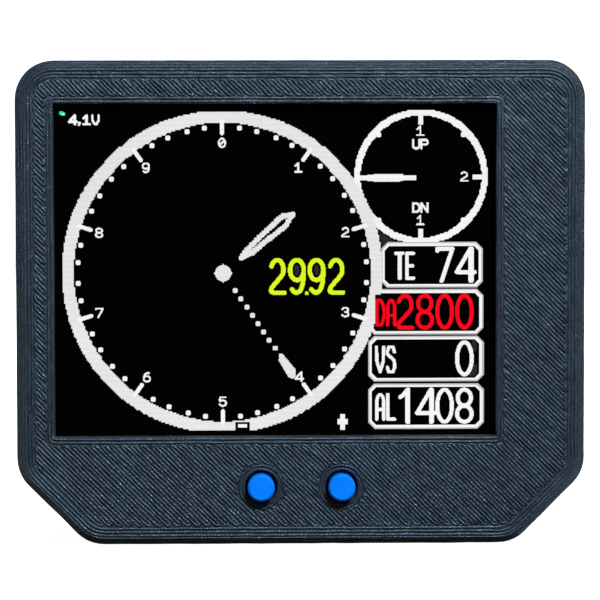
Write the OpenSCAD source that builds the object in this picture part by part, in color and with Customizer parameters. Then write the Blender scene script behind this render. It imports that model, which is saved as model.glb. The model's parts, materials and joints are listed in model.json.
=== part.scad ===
// Battery-powered aircraft altimeter: a printed two-piece case round a colour display,
// with two push buttons under the window. Millimetres, front towards -Y, standing on Z = 0.

/* [Case] */
// Wall thickness of the case, four printed lines
wall = 1.8; // [1.6:0.1:2.4]
// Thickness of the front face
face_t = 2; // [1.6:0.1:3]
// Thickness of the rear cover
cover_t = 2.2; // [2:0.1:3]
// Radius of the rounded corners seen from the front
corner_r = 5; // [4:0.25:5.5]
// Leg of the 45 degree cut at the two lower corners
corner_cut = 9.25; // [6:0.25:11]
// Bevel along the front edge of the face
front_bevel = 1; // [0.4:0.1:1.6]
// Bevel along the rear edge of the cover
rear_bevel = 0.6; // [0.2:0.1:1.2]
// Space below the display, inside the case, for the buttons
chin_h = 9.05; // [8.8:0.05:14]
// Room behind the circuit board for its tallest parts
parts_room = 5.2; // [5:0.1:10]

/* [Display] */
// Width of the display glass
glass_w = 69.2; // [66:0.2:80]
// Height of the display glass
glass_h = 50; // [48:0.5:60]
// Thickness of each of the two glass sheets
glass_t = 0.7; // [0.4:0.05:0.9]
// Thickness of the backlight behind the glass
backlight_t = 1.1; // [0.8:0.1:1.6]
// Border from the left edge of the glass to the lit picture
picture_left = 2.9; // [1:0.1:6]
// Border from the right edge of the glass to the picture
picture_right = 8.7; // [6:0.1:14]
// Border from the top edge of the glass to the picture
picture_top = 3.4; // [1:0.1:5]
// Border from the lower edge of the glass to the picture
picture_bottom = 3.2; // [1:0.1:5]
// Bare strip of the rear glass that carries the driver, at the right
ledge_w = 4; // [3:0.2:6]
// Gap between the glass and the left wall
glass_gap = 0.2; // [0.1:0.05:0.5]
// Gap between the glass and the top wall
glass_top_gap = 0.35; // [0.2:0.05:1]
// Gap at the right of the glass, where the flex turns back
flex_room = 1; // [0.8:0.1:1.8]
// Width of the flex
flex_w = 32; // [16:1:40]
// Thickness of the flex film
flex_t = 0.15; // [0.1:0.01:0.2]
// Width of each foam strip behind the display
foam_w = 6; // [3:0.5:10]

/* [Buttons] */
// Distance between the two buttons
button_pitch = 10.5; // [10:0.25:14]
// Diameter of the button stem
button_dia = 3.5; // [3:0.1:3.8]
// Gap round the stem in the case face
button_gap = 0.4; // [0.2:0.05:0.8]
// Running gap round the stem in the switch cover
stem_gap = 0.1; // [0.05:0.01:0.1]
// Side of the square switch body
switch_w = 6; // [5.6:0.1:6.2]
// Height of the switch body, cover plate included
switch_body_h = 3.5; // [3.2:0.1:4.5]
// Height of the whole switch from the board to the button's tip
switch_h = 7.5; // [6.5:0.1:9]
// Travel of the button
button_travel = 0.25; // [0.15:0.05:0.35]
// Gap between the switch and the case face
switch_gap = 0.2; // [0.1:0.05:0.6]
// Gap between the switch and the edge of the glass
switch_glass_gap = 0.3; // [0.2:0.05:1]
// Thickness of the switch's steel cover plate
plate_t = 0.3; // [0.2:0.05:0.4]
// How far a switch leg reaches out from the switch body
leg_reach = 1.4; // [1:0.1:1.8]

/* [Board] */
// Thickness of the circuit board
board_t = 1.6; // [1:0.1:2]
// Gap between the circuit board and the case walls
board_gap = 0.5; // [0.3:0.05:1]
// Diameter of the two board screws
board_screw_dia = 2; // [1.6:0.1:2.5]
// Radius of the posts that the board is screwed to
board_post_r = 2.8; // [2.4:0.1:3.2]
// Width of the charging socket
port_w = 8.94; // [7:0.1:10]
// Height of the charging socket
port_h = 3.2; // [2.6:0.1:4]
// Length of the charging socket
port_l = 7.35; // [6:0.1:9]
// Gap round the charging socket in the case wall
port_gap = 0.25; // [0.1:0.05:0.5]
// Width of the shallow pocket that takes the plug's grip
plug_pocket_w = 12.4; // [11:0.1:14]
// Wall left at the floor of that pocket
port_skin = 0.7; // [0.5:0.1:1]

/* [Battery] */
// Width of the pouch cell
cell_w = 30; // [24:1:34]
// Length of the pouch cell
cell_l = 40; // [32:1:42]
// Thickness of the pouch cell
cell_t = 5; // [3.5:0.5:8]
// Thickness of the tape that holds the cell to the cover
tape_t = 0.3; // [0.2:0.05:1]
// Diameter of each battery lead
lead_dia = 1.2; // [0.8:0.1:1.4]

/* [Fixings] */
// Diameter of the two cover screws
cover_screw_dia = 2.5; // [2:0.1:3]
// Radius of the columns that take the cover screws
column_r = 3.2; // [2.9:0.1:3.8]
// Outer radius of the brass inserts in the columns
cover_insert_r = 2; // [1.8:0.1:2.2]
// Length of the brass inserts in the columns
cover_insert_l = 4; // [3:0.5:6]
// Side of the square of panel screws at the back
mount_pitch = 47.2; // [45:0.1:49]
// Bore radius of the brass inserts for the panel screws
mount_bore_r = 1.75; // [1.5:0.05:2]
// Outer radius of those inserts
mount_insert_r = 2.8; // [2.6:0.1:3]
// Length of those inserts
mount_insert_l = 5; // [4:0.5:6]
// Gap between pieces that slip together
fit_gap = 0.3; // [0.2:0.05:0.4]

/* [Hidden] */
$fn = 64;
// A hull needs fewer sides than a drilled hole
hull_fn = 32;
// Slack round pieces that are pressed or screwed in, and how far a cut runs past a face
press_gap = 0.05;
past = 1;

// Depths behind the front face
lcd_t = 2 * glass_t + backlight_t;
board_d = face_t + switch_gap + switch_body_h;
foam_t = board_d - face_t - lcd_t;
board_back_d = board_d + board_t;
cell_d = board_back_d + parts_room;
wall_end_d = cell_d + cell_t + tape_t;
case_d = wall_end_d + cover_t;
button_out = switch_h - board_d;
front_y = -(case_d - button_out) / 2;

// Outline of the case, built round the display
case_w = glass_w + glass_gap + flex_room + 2 * wall;
case_h = glass_h + glass_top_gap + chin_h + 2 * wall;
glass_x0 = wall + glass_gap - case_w / 2;
glass_x1 = glass_x0 + glass_w;
glass_z0 = wall + chin_h;
glass_z1 = glass_z0 + glass_h;
side_x = case_w / 2 - corner_r;
top_z = case_h - corner_r;
// Where the rounded ends of the 45 degree cut have their centres
cut_line = case_w / 2 - corner_cut - corner_r * sqrt(2);
low_x = cut_line + corner_r;
low_z = side_x - cut_line;
// Each corner has its centre and the directions square to its two edges
corners = [
    [[low_x, corner_r], -90, -45],
    [[side_x, low_z], -45, 0],
    [[side_x, top_z], 0, 90],
    [[-side_x, top_z], 90, 180],
    [[-side_x, low_z], 180, 225],
    [[-low_x, corner_r], 225, 270]
];

// Places of the pieces
button_z = glass_z0 - switch_glass_gap - switch_w / 2;
column_gap = 1;
column_x = button_pitch / 2 + switch_w / 2 + leg_reach + column_gap + column_r;
column_wall_gap = 1.2;
column_z = wall + column_r + column_wall_gap;
board_post_inset = 1.2;
board_post_x = low_x - board_post_inset;
board_post_gap = 1.6;
board_post_z = wall + board_post_r + board_post_gap;
mid_z = case_h / 2;
cell_rise = 4.5;
cell_z0 = mid_z + cell_rise - cell_l / 2;
port_drop = 7.5;
port_z = mid_z - port_drop;
port_d = board_back_d + port_h / 2;
port_x1 = case_w / 2 - wall - press_gap;
shell_t = 0.3;
tongue_t = 0.7;
tongue_gap = 1.15;
air_from_mount = 3.4;
air_rise = 10.5;
air_at = [-mount_pitch / 2 - air_from_mount, mid_z + air_rise];
lip_t = 1.2;
lip_h = 2;
lip_gap = 0.2;

// Catch under the top wall and the hook of the cover that goes behind it
hook_x = 10;
hook_w = 9;
hook_t = 1.3;
catch_w = hook_w + 1;
catch_h = 1.4;
catch_t = 1.6;
catch_depth = 4.6;
catch_d = wall_end_d - catch_depth;
catch_z = case_h - wall - catch_h;

// Screw lengths, heads and the depths of their holes
board_screw_grip = 3;
board_screw_l = board_t + board_screw_grip;
board_screw_hole = 3.3;
board_pilot_r = board_screw_dia / 2 + press_gap;
cover_head_rim = 1.05;
cover_head_r = cover_screw_dia / 2 + cover_head_rim;
screw_end_gap = 0.2;
cover_screw_l = cover_t + cover_insert_l - screw_end_gap;
cover_hole_past = 1;
cover_screw_hole = cover_insert_l + cover_hole_past;
mount_hole_past = 0.8;
mount_hole = mount_insert_l + mount_hole_past;
boss_wall = 1.4;

// Switch parts, in heights above the board
base_floor = 1;
base_top = switch_body_h - plate_t;
cavity_r = 2.45;
rivet_inset = 0.75;
rivet_at = switch_w / 2 - rivet_inset;
rivet_r = 0.5;
ear_w = 3;
ear_l = 1.6;
flange_r = 2.25;
flange_t = 0.6;
flange_gap = 0.1;
nub_r = 0.7;
nub_gap = 0.05;
tip_bevel = 0.25;
dome_r = 2.1;
dome_h = 2 * button_travel;
dome_t = 0.1;
leg_w = 0.7;
leg_t = 0.2;

// Battery connector
socket_w = 7.8;
socket_l = 7.6;
socket_h = 5.2;
socket_wall = 0.8;
plug_l = 6.8;
plug_stop = 2;
plug_in = socket_l - plug_stop;
plug_gap = 0.1;
socket_cell_gap = 1.2;
socket_x = -cell_w / 2 - socket_cell_gap - socket_w / 2;
socket_drop = 4.5;
socket_z0 = mid_z - socket_drop;
plug_z0 = socket_z0 + plug_in - plug_l;
pin_pitch = 2;
pin_w = 0.5;
pin_hole_w = 0.9;
plug_d = board_back_d + socket_h / 2;
// The protection board end of the cell, which the leads leave
cell_end_l = 3.2;
cell_end_t = 3.5;
cell_side_r = 1.5;
cell_mid_y = front_y + cell_d + cell_t / 2;
lead_drop = 5;
lead_inset = 2.5;
lead_pitch = 2;
lead_rings = 14;
lead_sides = 8;

// Extrudes an outline drawn in X and Z backwards, from depth d behind the front face
module slab(d, t) {
    translate([0, front_y + d + t, 0]) rotate([90, 0, 0]) linear_extrude(t) children();
}

// Extrudes an outline drawn in Y and Z to the right, from x
module bar(x, l) {
    translate([x, front_y, 0]) rotate([90, 0, 90]) linear_extrude(l) children();
}

// A round rod along Y at [x, z] between two depths, with its front and rear radius
module cone(at, d0, d1, r1, r2) {
    translate([at[0], front_y + d0, at[1]]) rotate([-90, 0, 0]) cylinder(h = d1 - d0, r1 = r1, r2 = r2);
}

// The same with one radius
module rod(at, d0, d1, r) {
    cone(at, d0, d1, r, r);
}

// Rectangle in X and Z between two corners
module area(x0, z0, x1, z1) {
    translate([x0, z0]) square([x1 - x0, z1 - z0]);
}

// Slot shape with round ends, long in its second direction
module slot_shape(across, along) {
    straight = along - across;
    translate([-across / 2, -straight / 2]) square([across, straight]);
    for (end = [-1, 1]) translate([0, end * straight / 2]) circle(d = across);
}

// Outline of the case, drawn in by an inset
module outline(inset) {
    r = corner_r - inset;
    polygon([for (c = corners) for (a = [c[1], c[2]]) c[0] + r * [cos(a), sin(a)]]);
    for (c = corners) translate(c[0]) circle(r);
}

// Hollow of the case, square where the display goes in
module hollow() {
    outline(wall);
    area(glass_x0 - glass_gap, glass_z0, glass_x1 + glass_gap, glass_z1 + glass_gap);
}

// Outer form of the case between two depths, with a bevel at the front or at the rear
module bevelled_form(d0, d1, front, rear) {
    hull() for (c = corners) {
        cone(c[0], d0, d1, corner_r - front, corner_r - rear, $fn = hull_fn);
        rod(c[0], d0 + front, d1 - rear, corner_r, $fn = hull_fn);
    }
}

// Repeats a piece at the left and right, at a distance from the middle
module both_sides(x) {
    for (side = [-1, 1]) translate([side * x, 0, 0]) children();
}

// Repeats a piece at the four panel screws
module at_mounts() {
    for (x = [-1, 1]) for (z = [-1, 1])
        translate([x * mount_pitch / 2, 0, mid_z + z * mount_pitch / 2]) children();
}

// Front half of the case: face, walls, columns, posts and catches in one print
module front_housing() {
    color("#34404a") difference() {
        union() {
            difference() {
                bevelled_form(0, wall_end_d, front_bevel, 0);
                slab(face_t, wall_end_d) hollow();
            }
            both_sides(column_x) rod([0, column_z], face_t - past, wall_end_d, column_r);
            both_sides(board_post_x) rod([0, board_post_z], face_t - past, board_d, board_post_r);
            both_sides(hook_x) catch();
            glass_rests();
        }
        slab(-past, face_t + 2 * past)
            area(glass_x0 + picture_left, glass_z0 + picture_bottom,
                glass_x1 - picture_right, glass_z1 - picture_top);
        both_sides(button_pitch / 2) rod([0, button_z], -past, face_t + past, button_dia / 2 + button_gap);
        both_sides(column_x)
            rod([0, column_z], wall_end_d - cover_screw_hole, wall_end_d + past, cover_insert_r + press_gap);
        both_sides(board_post_x)
            rod([0, board_post_z], board_d - board_screw_hole, board_d + past, board_pilot_r);
        charging_opening();
    }
}

// Ribs under the glass that keep the display at the height of its window
module glass_rests() {
    rest_t = 1.2;
    near = column_x + column_r + 0.5;
    far = side_x - 1;
    top = glass_z0 - glass_gap;
    for (side = [0, 1])
        mirror([side, 0, 0]) slab(face_t - past, lcd_t + past) area(near, top - rest_t, far, top);
}

// Ledge under the top wall that the cover's hook goes behind
module catch() {
    slab(catch_d, catch_t) area(-catch_w / 2, catch_z, catch_w / 2, case_h - wall / 2);
}

// Slot in the right wall for the charging socket, with a pocket outside for the plug's grip
module charging_opening() {
    outside = case_w / 2;
    pocket_h = port_h + plug_pocket_w - port_w;
    translate([0, port_d, port_z]) {
        bar(outside - wall - past, wall + 2 * past) slot_shape(port_h + 2 * port_gap, port_w + 2 * port_gap);
        bar(outside - wall + port_skin, wall) slot_shape(pocket_h, plug_pocket_w);
    }
}

// Rear half of the case: plate with a locating lip, two hooks, insert bosses and air slots
module rear_cover() {
    shank = cover_screw_dia / 2;
    sink_d = case_d - cover_head_r + shank;
    color("#303a43") difference() {
        union() {
            bevelled_form(wall_end_d, case_d, 0, rear_bevel);
            slab(wall_end_d - lip_h, lip_h) difference() {
                outline(wall + lip_gap);
                outline(wall + lip_gap + lip_t);
                for (side = [-1, 1]) translate([side * column_x, column_z]) circle(column_r + fit_gap);
            }
            both_sides(hook_x) cover_hook();
            at_mounts() rod([0, 0], case_d - mount_hole - boss_wall, wall_end_d, mount_insert_r + boss_wall);
        }
        at_mounts() rod([0, 0], case_d - mount_hole, case_d + past, mount_insert_r + press_gap);
        both_sides(column_x) {
            rod([0, column_z], wall_end_d - past, case_d + past, shank + press_gap);
            cone([0, column_z], sink_d, case_d, shank + press_gap, cover_head_r + press_gap);
        }
        air_slots();
    }
}

// Hook at the top of the cover: an arm under the catch with an upturned end in front of it
module cover_hook() {
    arm_z = catch_z - fit_gap - hook_t;
    tip_d = catch_d - fit_gap - hook_t;
    slab(tip_d, wall_end_d - tip_d) area(-hook_w / 2, arm_z, hook_w / 2, arm_z + hook_t);
    slab(tip_d, hook_t) area(-hook_w / 2, arm_z, hook_w / 2, case_h - wall - fit_gap);
}

// Slots that let the outside air reach the pressure sensor
module air_slots() {
    slot_h = 1.6;
    slot_l = 9;
    slot_step = 3.2;
    slab(wall_end_d - past, cover_t + 2 * past)
        for (row = [-1, 0, 1])
            translate(air_at + [0, row * slot_step]) rotate(90) slot_shape(slot_h, slot_l);
}

// Flat-head screws with a hexagon socket, which hold the cover to the columns
module cover_screws() {
    shank = cover_screw_dia / 2;
    key_r = 0.75;
    key_depth = 0.9;
    color("#8f9396") both_sides(column_x) difference() {
        union() {
            rod([0, column_z], case_d - cover_screw_l, case_d, shank);
            cone([0, column_z], case_d - cover_head_r + shank, case_d, shank, cover_head_r);
        }
        rod([0, column_z], case_d - key_depth, case_d + past, key_r, $fn = 6);
    }
}

// Brass inserts in the ends of the columns
module cover_inserts() {
    front = wall_end_d - cover_insert_l;
    color("#b08d3c") both_sides(column_x) difference() {
        rod([0, column_z], front, wall_end_d, cover_insert_r);
        rod([0, column_z], front - past, wall_end_d + past, cover_screw_dia / 2 + press_gap);
    }
}

// Pan-head screws with a cross recess, which hold the lower edge of the board
module board_screws() {
    head_r = 1.9;
    head_h = 1.3;
    recess = [2.2, 1.2, 0.5];
    color("#8f9396") both_sides(board_post_x) difference() {
        union() {
            rod([0, board_post_z], board_back_d - board_screw_l, board_back_d, board_screw_dia / 2);
            cone([0, board_post_z], board_back_d, board_back_d + head_h, head_r, head_r - 0.4);
        }
        for (turn = [0, 90])
            translate([0, front_y + board_back_d + head_h, board_post_z]) rotate([0, turn, 0])
                cube(recess, center = true);
    }
}

// Brass inserts in the back of the cover for the panel screws
module mount_inserts() {
    front = case_d - mount_insert_l;
    color("#b08d3c") at_mounts() difference() {
        rod([0, 0], front, case_d, mount_insert_r);
        rod([0, 0], front - past, case_d + past, mount_bore_r);
    }
}

// The two bonded glass sheets, with the driver's ledge bare at the right
module display_cell() {
    color("#0b0c0f") {
        slab(face_t, glass_t) area(glass_x0, glass_z0, glass_x1 - ledge_w, glass_z1);
        slab(face_t + glass_t, glass_t) area(glass_x0, glass_z0, glass_x1, glass_z1);
    }
}

// White tray with the light guide, clipped to the back of the glass
module display_backlight() {
    rim = 0.8;
    well = backlight_t / 4;
    well_x0 = glass_x0 + foam_w + 2 * rim;
    well_x1 = glass_x1 - foam_w - ledge_w - 2 * rim;
    color("#d8dad8") difference() {
        slab(face_t + 2 * glass_t, backlight_t) area(glass_x0, glass_z0, glass_x1, glass_z1);
        slab(face_t + lcd_t - well, backlight_t)
            area(well_x0, glass_z0 + rim, well_x1, glass_z1 - rim);
    }
}

// Driver chip on the ledge of the rear glass
module display_driver() {
    driver_w = 1.1;
    driver_l = 18;
    driver_t = 0.3;
    color("#2a2a2e") slab(face_t + glass_t - driver_t, driver_t)
        translate([glass_x1 - ledge_w + driver_w, glass_z0 + glass_h / 2])
            square([driver_w, driver_l], center = true);
}

// Film that leaves the ledge, turns round the right edge and lies on the front of the board
module display_flex() {
    wall_gap = 0.4;
    outer = flex_room - wall_gap;
    turn_r = outer - flex_t;
    top_d = face_t + glass_t - flex_t;
    film_start = 1.7;
    film_end = 4.7;
    start_x = glass_x1 - film_start;
    end_x = glass_x1 - film_end;
    function arc(r, a0, a1, centre_d) =
        [for (i = [0:6]) let (a = a0 + (a1 - a0) * i / 6)
            [glass_x1 + r * sin(a), centre_d - r * cos(a)]];
    film = concat(
        [[start_x, top_d]],
        arc(outer, 0, 90, top_d + outer),
        arc(outer, 90, 180, board_d - outer),
        [[end_x, board_d], [end_x, board_d - flex_t]],
        arc(turn_r, 180, 90, board_d - outer),
        arc(turn_r, 90, 0, top_d + outer),
        [[start_x, top_d + flex_t]]
    );
    color("#b4651c") translate([0, front_y, glass_z0 + glass_h / 2 - flex_w / 2])
        linear_extrude(flex_w) polygon(film);
}

// Adhesive foam between the backlight and the board
module foam_strips() {
    end_gap = 3;
    side_gap = 1;
    color("#26282a") for (x = [glass_x0 + side_gap, glass_x1 - ledge_w - 1.5 * side_gap - foam_w])
        slab(board_d - foam_t, foam_t) area(x, glass_z0 + end_gap, x + foam_w, glass_z1 - end_gap);
}

// Circuit board, cut out round the two columns
module main_board() {
    front = board_d - past;
    rear = board_back_d + past;
    notch = column_r + fit_gap;
    color("#12402a") difference() {
        slab(board_d, board_t) outline(wall + board_gap);
        both_sides(column_x) {
            rod([0, column_z], front, rear, notch);
            slab(front, rear - front) area(-notch, 0, notch, column_z);
        }
        both_sides(board_post_x) rod([0, board_post_z], front, rear, board_pilot_r);
    }
}

// Each chip has its middle on the board, its size in X and Z, its height and its rows of leads
processor_from_mid = [4, 10.5];
processor_at = [0, mid_z] + processor_from_mid;
processor_size = [7, 7, 1.4];
charger_from_mid = [20, -15.5];
charger_at = [0, mid_z] + charger_from_mid;
charger_size = [3.9, 4.9, 1.5];
regulator_from_mid = [24, 4.5];
regulator_at = [0, mid_z] + regulator_from_mid;
regulator_size = [3.5, 6.5, 1.6];
// Pitch and width of the leads of each chip, and the width of the regulator's single wide lead
processor_lead = [0.5, 0.22];
charger_lead = [1.27, 0.4];
regulator_lead = [2.3, 0.7];
regulator_tab_w = 3;
chip_foot = 0.1;
chip_leg_l = 1;
chip_leg_t = 0.2;

// Moulded chip body with a bevelled corner that marks its first lead
module chip_body(at, size) {
    mark = 0.6;
    slab(board_back_d + chip_foot, size[2] - chip_foot) translate(at) difference() {
        square([size[0], size[1]], center = true);
        translate([-size[0] / 2, size[1] / 2]) rotate(45) square(mark, center = true);
    }
}

// One row of bent leads along the right side of a chip
module lead_row(size, count, lead) {
    half = size[0] / 2;
    mid_h = size[2] / 2;
    foot = chip_leg_l / 2;
    bend = [[half, mid_h], [half + foot, mid_h], [half + foot, 0], [half + chip_leg_l, 0],
        [half + chip_leg_l, chip_leg_t], [half + foot + chip_leg_t, chip_leg_t],
        [half + foot + chip_leg_t, mid_h + chip_leg_t], [half, mid_h + chip_leg_t]];
    for (i = [0:count - 1])
        translate([0, 0, (i - (count - 1) / 2) * lead[0] - lead[1] / 2])
            linear_extrude(lead[1]) polygon(bend);
}

// Rows of leads at some sides of a chip, each given by its turn
module chip_legs(at, size, turns, count, lead) {
    for (turn = turns)
        translate([at[0], front_y + board_back_d, at[1]]) rotate([0, turn, 0])
            lead_row(size, count, lead);
}

module processor() {
    color("#1b1c1e") chip_body(processor_at, processor_size);
}

module charger_chip() {
    color("#1b1c1e") chip_body(charger_at, charger_size);
}

module regulator_chip() {
    color("#1b1c1e") chip_body(regulator_at, regulator_size);
}

// All the bent leads of the three chips
module chip_leads() {
    color("#b9bcbd") {
        chip_legs(processor_at, processor_size, [0, 90, 180, 270], 12, processor_lead);
        chip_legs(charger_at, charger_size, [0, 180], 4, charger_lead);
        chip_legs(regulator_at, regulator_size, [180], 3, regulator_lead);
        chip_legs(regulator_at, regulator_size, [0], 1, [0, regulator_tab_w]);
    }
}

// Small capacitors in rows beside the chips
module chip_capacitors() {
    across = 1.25;
    along = 2;
    tall = 0.85;
    pairs = [processor_at + [9, -2], processor_at - [10, 0], charger_at + [1, 8.5], regulator_at + [1, 8]];
    color("#a58a63") for (at = pairs) for (i = [0, 1])
        slab(board_back_d, tall) translate(at + [2 * i * across, 0]) square([across, along], center = true);
}

// Pressure sensor with a steel lid and its air hole
module pressure_sensor() {
    from_air = [-1, 4];
    at = air_at + from_air;
    lid = [3, 5];
    tall = 1;
    hole_r = 0.3;
    color("#9a9d9f") difference() {
        slab(board_back_d, tall) translate(at) square(lid, center = true);
        rod(at + [0, lid[1] / 4], board_back_d + tall / 2, board_back_d + tall + past, hole_r);
    }
}

// Folded steel shell of the charging socket
module charging_shell() {
    color("#b9bcbd") translate([0, port_d, port_z]) difference() {
        bar(port_x1 - port_l, port_l) slot_shape(port_h, port_w);
        bar(port_x1 - port_l + shell_t, port_l) slot_shape(port_h - 2 * shell_t, port_w - 2 * shell_t);
    }
}

// Insulator of the charging socket: a block at its end and a thin tongue in the mouth
module charging_tongue() {
    block_l = 2;
    inner = [port_h - 2 * shell_t - 2 * press_gap, port_w - 2 * shell_t - 2 * press_gap];
    tongue = [tongue_t, port_w - 2 * tongue_gap];
    color("#1b1c1e") translate([0, port_d, port_z]) {
        bar(port_x1 - port_l + shell_t, block_l) slot_shape(inner[0], inner[1]);
        bar(port_x1 - port_l + shell_t, port_l - shell_t - tongue_gap) square(tongue, center = true);
    }
}

// Sealed pouch cell, with the taped protection board at its lower end
module battery_cell() {
    half = cell_w / 2;
    color("#9fa4a8") {
        translate([0, cell_mid_y, cell_z0 + cell_end_l]) linear_extrude(cell_l - cell_end_l) {
            square([cell_w - 2 * cell_side_r, cell_t], center = true);
            square([cell_w, cell_t - 2 * cell_side_r], center = true);
            for (x = [-1, 1]) for (y = [-1, 1])
                translate([x * (half - cell_side_r), y * (cell_t / 2 - cell_side_r)]) circle(cell_side_r);
        }
        slab(cell_d + (cell_t - cell_end_t) / 2, cell_end_t)
            area(-half + 1, cell_z0, half - 1, cell_z0 + cell_end_l + 0.5);
    }
}

// Double-sided tape between the cell and the cover
module battery_tape() {
    margin = 4;
    color("#d9d2b8") slab(cell_d + cell_t, tape_t)
        area(margin - cell_w / 2, cell_z0 + margin, cell_w / 2 - margin, cell_z0 + cell_l - margin);
}

// Two square bars where the pins of the battery socket run
module pin_slots(width, z0, z1) {
    slab(plug_d - width / 2, width) for (side = [-1, 1])
        translate([socket_x + side * pin_pitch / 2, 0]) area(-width / 2, z0, width / 2, z1);
}

// Open box on the board that the battery plug goes into from below
module battery_socket() {
    color("#e6e4da") difference() {
        slab(board_back_d, socket_h)
            area(socket_x - socket_w / 2, socket_z0, socket_x + socket_w / 2, socket_z0 + socket_l);
        slab(board_back_d + socket_wall, socket_h - 2 * socket_wall)
            area(socket_x - socket_w / 2 + socket_wall, socket_z0 - past,
                socket_x + socket_w / 2 - socket_wall, socket_z0 + plug_in + plug_gap);
        pin_slots(pin_w, socket_z0, socket_z0 + socket_l + past);
    }
}

// The two square pins of the socket, bent down to the board behind it
module socket_pins() {
    reach = 0.8;
    z1 = socket_z0 + socket_l + reach;
    color("#b9bcbd") {
        pin_slots(pin_w, socket_z0 + 2, z1);
        slab(board_back_d, plug_d - board_back_d + pin_w / 2) for (side = [-1, 1])
            translate([socket_x + side * pin_pitch / 2, 0]) area(-pin_w / 2, z1 - pin_w, pin_w / 2, z1);
    }
}

// Plug housing on the battery leads
module battery_plug() {
    half = socket_w / 2 - socket_wall - plug_gap;
    color("#e6e4da") difference() {
        slab(board_back_d + socket_wall + plug_gap, socket_h - 2 * socket_wall - 2 * plug_gap)
            area(socket_x - half, plug_z0, socket_x + half, plug_z0 + plug_l);
        pin_slots(pin_hole_w, plug_z0 + 0.8, plug_z0 + plug_l + past);
    }
}

// Points of a lead's round section at one place of its path, square to the way it runs
function lead_ring(at, way) =
    let (side = cross(way, [0, 0.6, 0.8]), u = side / norm(side), v = cross(u, way))
    [for (i = [0:lead_sides - 1]) let (a = 360 * i / lead_sides)
        at + lead_dia / 2 * (u * cos(a) + v * sin(a))];

// Place and way of the smooth loop from a to b, which leaves both ends downwards
function loop_point(a, b, drop, t) =
    let (p = a - [0, 0, drop], q = b - [0, 0, drop])
    pow(1 - t, 3) * a + 3 * pow(1 - t, 2) * t * p + 3 * (1 - t) * pow(t, 2) * q + pow(t, 3) * b;
function loop_way(a, b, drop, t) =
    let (p = a - [0, 0, drop], q = b - [0, 0, drop],
        w = pow(1 - t, 2) * (p - a) + 2 * (1 - t) * t * (q - p) + pow(t, 2) * (b - q))
    w / norm(w);

// One lead from the end of the cell to the plug; shift is the side of the plug that it enters
module battery_lead(shift, from_x, drop) {
    start = [from_x, cell_mid_y, cell_z0];
    end = [socket_x + shift * pin_pitch / 2, front_y + plug_d, plug_z0];
    points = [for (i = [0:lead_rings]) let (t = i / lead_rings)
        each lead_ring(loop_point(start, end, drop, t), loop_way(start, end, drop, t))];
    sides = [for (i = [0:lead_rings - 1]) for (j = [0:lead_sides - 1])
        let (k = (j + 1) % lead_sides, a = i * lead_sides, b = a + lead_sides)
        each [[a + j, a + k, b + k], [a + j, b + k, b + j]]];
    last = lead_rings * lead_sides;
    polyhedron(points, concat(sides,
        [[for (j = [lead_sides - 1:-1:0]) j], [for (j = [0:lead_sides - 1]) last + j]]));
}

module positive_lead() {
    color("#b3201c") battery_lead(1, lead_inset - cell_w / 2, lead_drop);
}

module negative_lead() {
    color("#17181a") battery_lead(-1, lead_inset + lead_pitch - cell_w / 2, lead_drop + 3 * lead_dia);
}

// Puts a switch piece at the left or right button, with its height running out of the board
module at_switch(side) {
    translate([side * button_pitch / 2, front_y + board_d, button_z]) rotate([90, 0, 0]) children();
}

// Ear at one side of the steel plate, or with slack the seat for it in the switch body
module ear(slack) {
    translate([-ear_w / 2 - slack, switch_w / 2 - plate_t - slack, base_top - ear_l - slack])
        cube([ear_w + 2 * slack, plate_t + 2 * slack, ear_l + plate_t + slack]);
}

// Repeats a piece at the four rivets of a switch, from just under its plate
module at_rivets() {
    for (x = [-1, 1]) for (y = [-1, 1])
        translate([x * rivet_at, y * rivet_at, base_top - past]) children();
}

// Moulded switch body with a round well, four rivet posts and seats for the plate's ears
module switch_base() {
    half = switch_w / 2;
    color("#1b1c1e") {
        difference() {
            translate([-half, -half, 0]) cube([switch_w, switch_w, base_top]);
            translate([0, 0, base_floor]) cylinder(h = switch_h, r = cavity_r);
            for (side = [0, 180]) rotate(side) ear(press_gap);
        }
        at_rivets() cylinder(h = past + plate_t, r = rivet_r);
    }
}

// Steel plate that closes the switch, with two ears folded down its sides
module switch_cover() {
    half = switch_w / 2;
    color("#b9bcbd") {
        difference() {
            translate([-half, -half, base_top]) cube([switch_w, switch_w, plate_t]);
            translate([0, 0, base_top - past]) cylinder(h = 3 * past, r = button_dia / 2 + stem_gap);
            at_rivets() cylinder(h = 3 * past, r = rivet_r + press_gap);
        }
        for (side = [0, 180]) rotate(side) ear(0);
    }
}

// Four bent legs that stand on the board at the left and right of a switch
module switch_legs() {
    half = switch_w / 2;
    foot = leg_reach / 3;
    rise = 0.6;
    knee = half + foot - leg_t;
    bend = [[half, rise - leg_t], [knee, rise - leg_t], [knee, 0], [half + leg_reach, 0],
        [half + leg_reach, leg_t], [knee + leg_t, leg_t], [knee + leg_t, rise], [half, rise]];
    color("#b9bcbd") for (side = [0, 180]) for (y = [-1, 1])
        rotate(side) translate([0, y * rivet_at + leg_w / 2, 0]) rotate([90, 0, 0])
            linear_extrude(leg_w) polygon(bend);
}

// Thin spring disc under the button, which clicks flat when it is pressed
module contact_dome() {
    ball_r = (dome_r * dome_r + dome_h * dome_h) / (2 * dome_h);
    color("#c8cacb") translate([0, 0, base_floor]) rotate_extrude() intersection() {
        translate([0, dome_h - ball_r]) difference() {
            circle(ball_r);
            circle(ball_r - dome_t);
        }
        square([dome_r, dome_h]);
    }
}

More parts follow.
